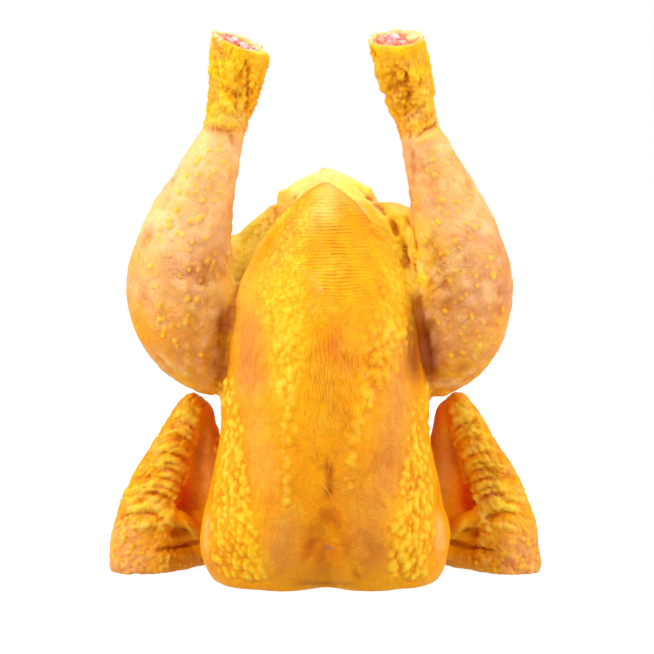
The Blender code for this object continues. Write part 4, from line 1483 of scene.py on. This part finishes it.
LEFT_MORSELS = (
    Morsel(Tissue.MEAT, (0.0, 0.5, -4.6), (12.6, 10.4, 4.4), 0.2),
    Morsel(Tissue.MEAT, (-7.0, -3.5, -1.4), (3.4, 3.4, 2.4), 0.35),
    Morsel(Tissue.GRISTLE, (-2.6, -0.5, -0.7), (3.7, 4.0, 2.7), 0.3),
    Morsel(Tissue.GRISTLE, (3.2, -2.4, -1.0), (3.0, 3.4, 2.2), 0.35),
    Morsel(Tissue.MARROW, (0.4, -4.2, -1.4), (2.2, 2.6, 1.9), 0.5),
    Morsel(Tissue.MARROW, (7.2, -2.6, -1.2), (2.8, 3.6, 1.9), 0.5),
    Morsel(Tissue.MARROW, (-6.0, 2.4, -1.0), (2.4, 2.4, 2.0), 0.4),
    Morsel(Tissue.EDGE, (9.6, 2.0, -0.8), (2.4, 5.4, 1.5), 0.3),
)
RIGHT_MORSELS = (
    Morsel(Tissue.MEAT, (0.0, 0.8, -4.8), (12.4, 10.2, 4.2), 0.2),
    Morsel(Tissue.GRISTLE, (-1.6, 2.6, -1.4), (4.8, 4.6, 3.2), 0.16),
    Morsel(Tissue.MEAT, (-6.8, 3.4, -1.0), (3.4, 4.4, 2.0), 0.3),
    Morsel(Tissue.MARROW, (4.2, 3.2, -1.8), (2.6, 3.4, 2.0), 0.4),
    Morsel(Tissue.MARROW, (1.2, -4.6, -2.6), (4.0, 3.4, 2.6), 0.55),
    Morsel(Tissue.EDGE, (8.6, 1.6, -0.5), (3.2, 5.6, 1.7), 0.3),
    Morsel(Tissue.EDGE, (-3.4, 8.8, -0.2), (7.0, 1.6, 1.3), 0.35),
)


@dataclass
class ShinBone:
    """The bone inside a drumstick, whose knuckle shows in the cut."""

    node: str

    def build(self, material: bpy.types.Material) -> bpy.types.Object:
        """Makes a smooth copy of the solid bone.

        Args:
            material: Its material.

        Returns:
            The piece.
        """
        work = bmesh.new()
        work.from_mesh(bpy.data.objects[self.node].data)
        bmesh.ops.remove_doubles(work, verts=work.verts, dist=1e-6)
        bmesh.ops.subdivide_edges(work, edges=work.edges, cuts=1, use_grid_fill=True, smooth=0.6)
        mesh = bpy.data.meshes.new(self.node)
        work.to_mesh(mesh)
        work.free()
        return make_piece(f"{self.node}_joint_end", mesh, material, self.node)


# ---- studio ------------------------------------------------------------------------------------


@dataclass(frozen=True)
class Lamp:
    """A soft square lamp."""

    name: str
    place: Spot
    side: float
    power: float


@dataclass
class Studio:
    """A white floor, soft lamps round the bird and the camera level with its breast.

    Lengths are in metres here.  Grey flags stand round the bird as in a photographer's studio: they
    keep the white sky off its sides, so that its folds stay deep.
    """

    floor_radius: float = 6.0
    flag_radius: float = 1.9
    flag_height: float = 1.5
    bounce: float = 0.74
    goal: Spot = (0.0, 0.0, 0.13)
    lamps: tuple[Lamp, ...] = (
        Lamp("overhead", (-0.1, -0.2, 1.1), 0.6, 5.2),
        Lamp("front_left", (-0.85, -0.8, 0.6), 0.25, 7.4),
        Lamp("front_right", (0.6, -1.05, 0.45), 0.4, 3.6),
        Lamp("side_left", (-1.0, -0.1, 0.35), 0.4, 4.8),
        Lamp("side_right", (1.0, -0.2, 0.28), 0.4, 6.2),
        Lamp("back", (0.3, 1.0, 1.1), 0.4, 5.0),
    )

    def build(self) -> None:
        """Makes the floor, the lamps, the sky and the camera."""
        self._floor()
        self._bounce()
        self._flag("front_flag", -170, 160, "363636")
        self._flag("rear_flag", -10, 200, "808080")
        for lamp in self.lamps:
            self._hang(lamp)
        self._sky()
        self._camera()
        bpy.context.scene.view_settings.view_transform = "Standard"

    def _floor(self) -> None:
        """A round white floor."""
        work = bmesh.new()
        bmesh.ops.create_circle(work, cap_ends=True, segments=96, radius=self.floor_radius)
        mesh = bpy.data.meshes.new("floor")
        work.to_mesh(mesh)
        work.free()
        material, tree = bare_material("white_paper")
        white = linear("fafafa")
        inputs = {"Base Color": linear("a0a0a0"), "Roughness": 0.9, "Emission Color": white, "Emission Strength": 0.92}
        shader = add_node(tree, "ShaderNodeBsdfPrincipled", inputs)
        add_node(tree, "ShaderNodeOutputMaterial", {"Surface": shader})
        mesh.materials.append(material)
        floor = bpy.data.objects.new("floor", mesh)
        floor.visible_diffuse = floor.visible_glossy = False
        bpy.context.scene.collection.objects.link(floor)

    def _bounce(self) -> None:
        """Lays a dim sheet that lights the bird from below in the white floor's place."""
        work = bmesh.new()
        bmesh.ops.create_circle(work, cap_ends=True, segments=48, radius=self.floor_radius)
        bmesh.ops.translate(work, verts=work.verts, vec=(0, 0, -0.01))
        mesh = bpy.data.meshes.new("bounce")
        work.to_mesh(mesh)
        work.free()
        material, tree = bare_material("dim_sheet")
        glow = add_node(tree, "ShaderNodeEmission", {"Color": linear("ffffff"), "Strength": self.bounce})
        add_node(tree, "ShaderNodeOutputMaterial", {"Surface": glow})
        mesh.materials.append(material)
        sheet = bpy.data.objects.new("bounce", mesh)
        sheet.visible_camera = False
        bpy.context.scene.collection.objects.link(sheet)

    def _hang(self, lamp: Lamp) -> None:
        """Hangs a lamp and points it at the bird."""
        data = bpy.data.lights.new(lamp.name, "AREA")
        data.size = lamp.side
        data.energy = lamp.power
        hung = bpy.data.objects.new(lamp.name, data)
        hung.location = lamp.place
        hung.rotation_euler = (Vector(self.goal) - Vector(lamp.place)).to_track_quat("-Z", "Y").to_euler()
        bpy.context.scene.collection.objects.link(hung)

    def _flag(self, name: str, start: float, sweep: float, grey: str) -> None:
        """Stands a curved flag up, out of the camera's sight.

        Args:
            name: Its name.
            start: Where it starts, in degrees from +X.
            sweep: How far it goes round, in degrees.
            grey: Its colour.
        """
        work = bmesh.new()
        turn = Matrix.Rotation(math.radians(start), 3, "Z")
        foot = work.verts.new(turn @ Vector((self.flag_radius, 0, 0)))
        head = work.verts.new(turn @ Vector((self.flag_radius, 0, self.flag_height)))
        edge = work.edges.new((foot, head))
        bmesh.ops.spin(work, geom=[foot, head, edge], axis=(0, 0, 1), angle=math.radians(sweep), steps=24)
        mesh = bpy.data.meshes.new(name)
        work.to_mesh(mesh)
        work.free()
        material, tree = bare_material(f"{name}_cloth")
        shader = add_node(tree, "ShaderNodeBsdfDiffuse", {"Color": linear(grey)})
        add_node(tree, "ShaderNodeOutputMaterial", {"Surface": shader})
        mesh.materials.append(material)
        flag = bpy.data.objects.new(name, mesh)
        flag.visible_camera = False
        bpy.context.scene.collection.objects.link(flag)

    def _sky(self) -> None:
        """An even white sky."""
        world = bpy.data.worlds.new("white_sky")
        world.use_nodes = True
        world.node_tree.nodes["Background"].inputs["Color"].default_value = (1, 1, 1, 1)
        bpy.context.scene.world = world

    def _camera(self) -> None:
        """The camera, where the eye stands."""
        data = bpy.data.cameras.new("camera")
        data.sensor_width = 36.0
        data.lens = data.sensor_width * EYE_DISTANCE / VIEW_WIDTH
        camera = bpy.data.objects.new("camera", data)
        camera.location = eye_point() * MM
        camera.rotation_euler = (EYE_TARGET - eye_point()).to_track_quat("-Z", "Y").to_euler()
        bpy.context.scene.collection.objects.link(camera)
        bpy.context.scene.camera = camera


def main() -> None:
    """Dresses the bird and lights it."""
    logging.basicConfig(level=logging.INFO, format="%(name)s: %(message)s")
    skin_material = SkinFinish().dress()
    finishes = {
        Tissue.EDGE: WetFinish("cut_skin_edge", "f4b07c", "f8c65c", 4.0, 0.4).dress(),
        Tissue.MEAT: WetFinish("raw_meat", "e0664a", "f29a80", 2.2, 0.32).dress(),
        Tissue.GRISTLE: WetFinish("gristle", "eeb8b4", "dc6e70", 3.2, 0.22).dress(),
        Tissue.MARROW: WetFinish("marrow", "d23220", "f0805c", 1.3, 0.28).dress(),
    }
    bone = WetFinish("wet_bone", "f0c9bd", "e08f80", 3.0, 0.3).dress()
    skin = Skin()
    skin.build(skin_material)
    Threads(skin.clay).build(skin_material)
    for shank, morsels, dip in zip(SHANKS, (LEFT_MORSELS, RIGHT_MORSELS), (1.0, 4.2)):
        HockCut(shank, morsels, dip, seed=71 + shank.side).build(finishes)
        ShinBone(f"shin_bone_{shank.name}").build(bone)
    Studio().build()


if __name__ == "__main__":
    main()
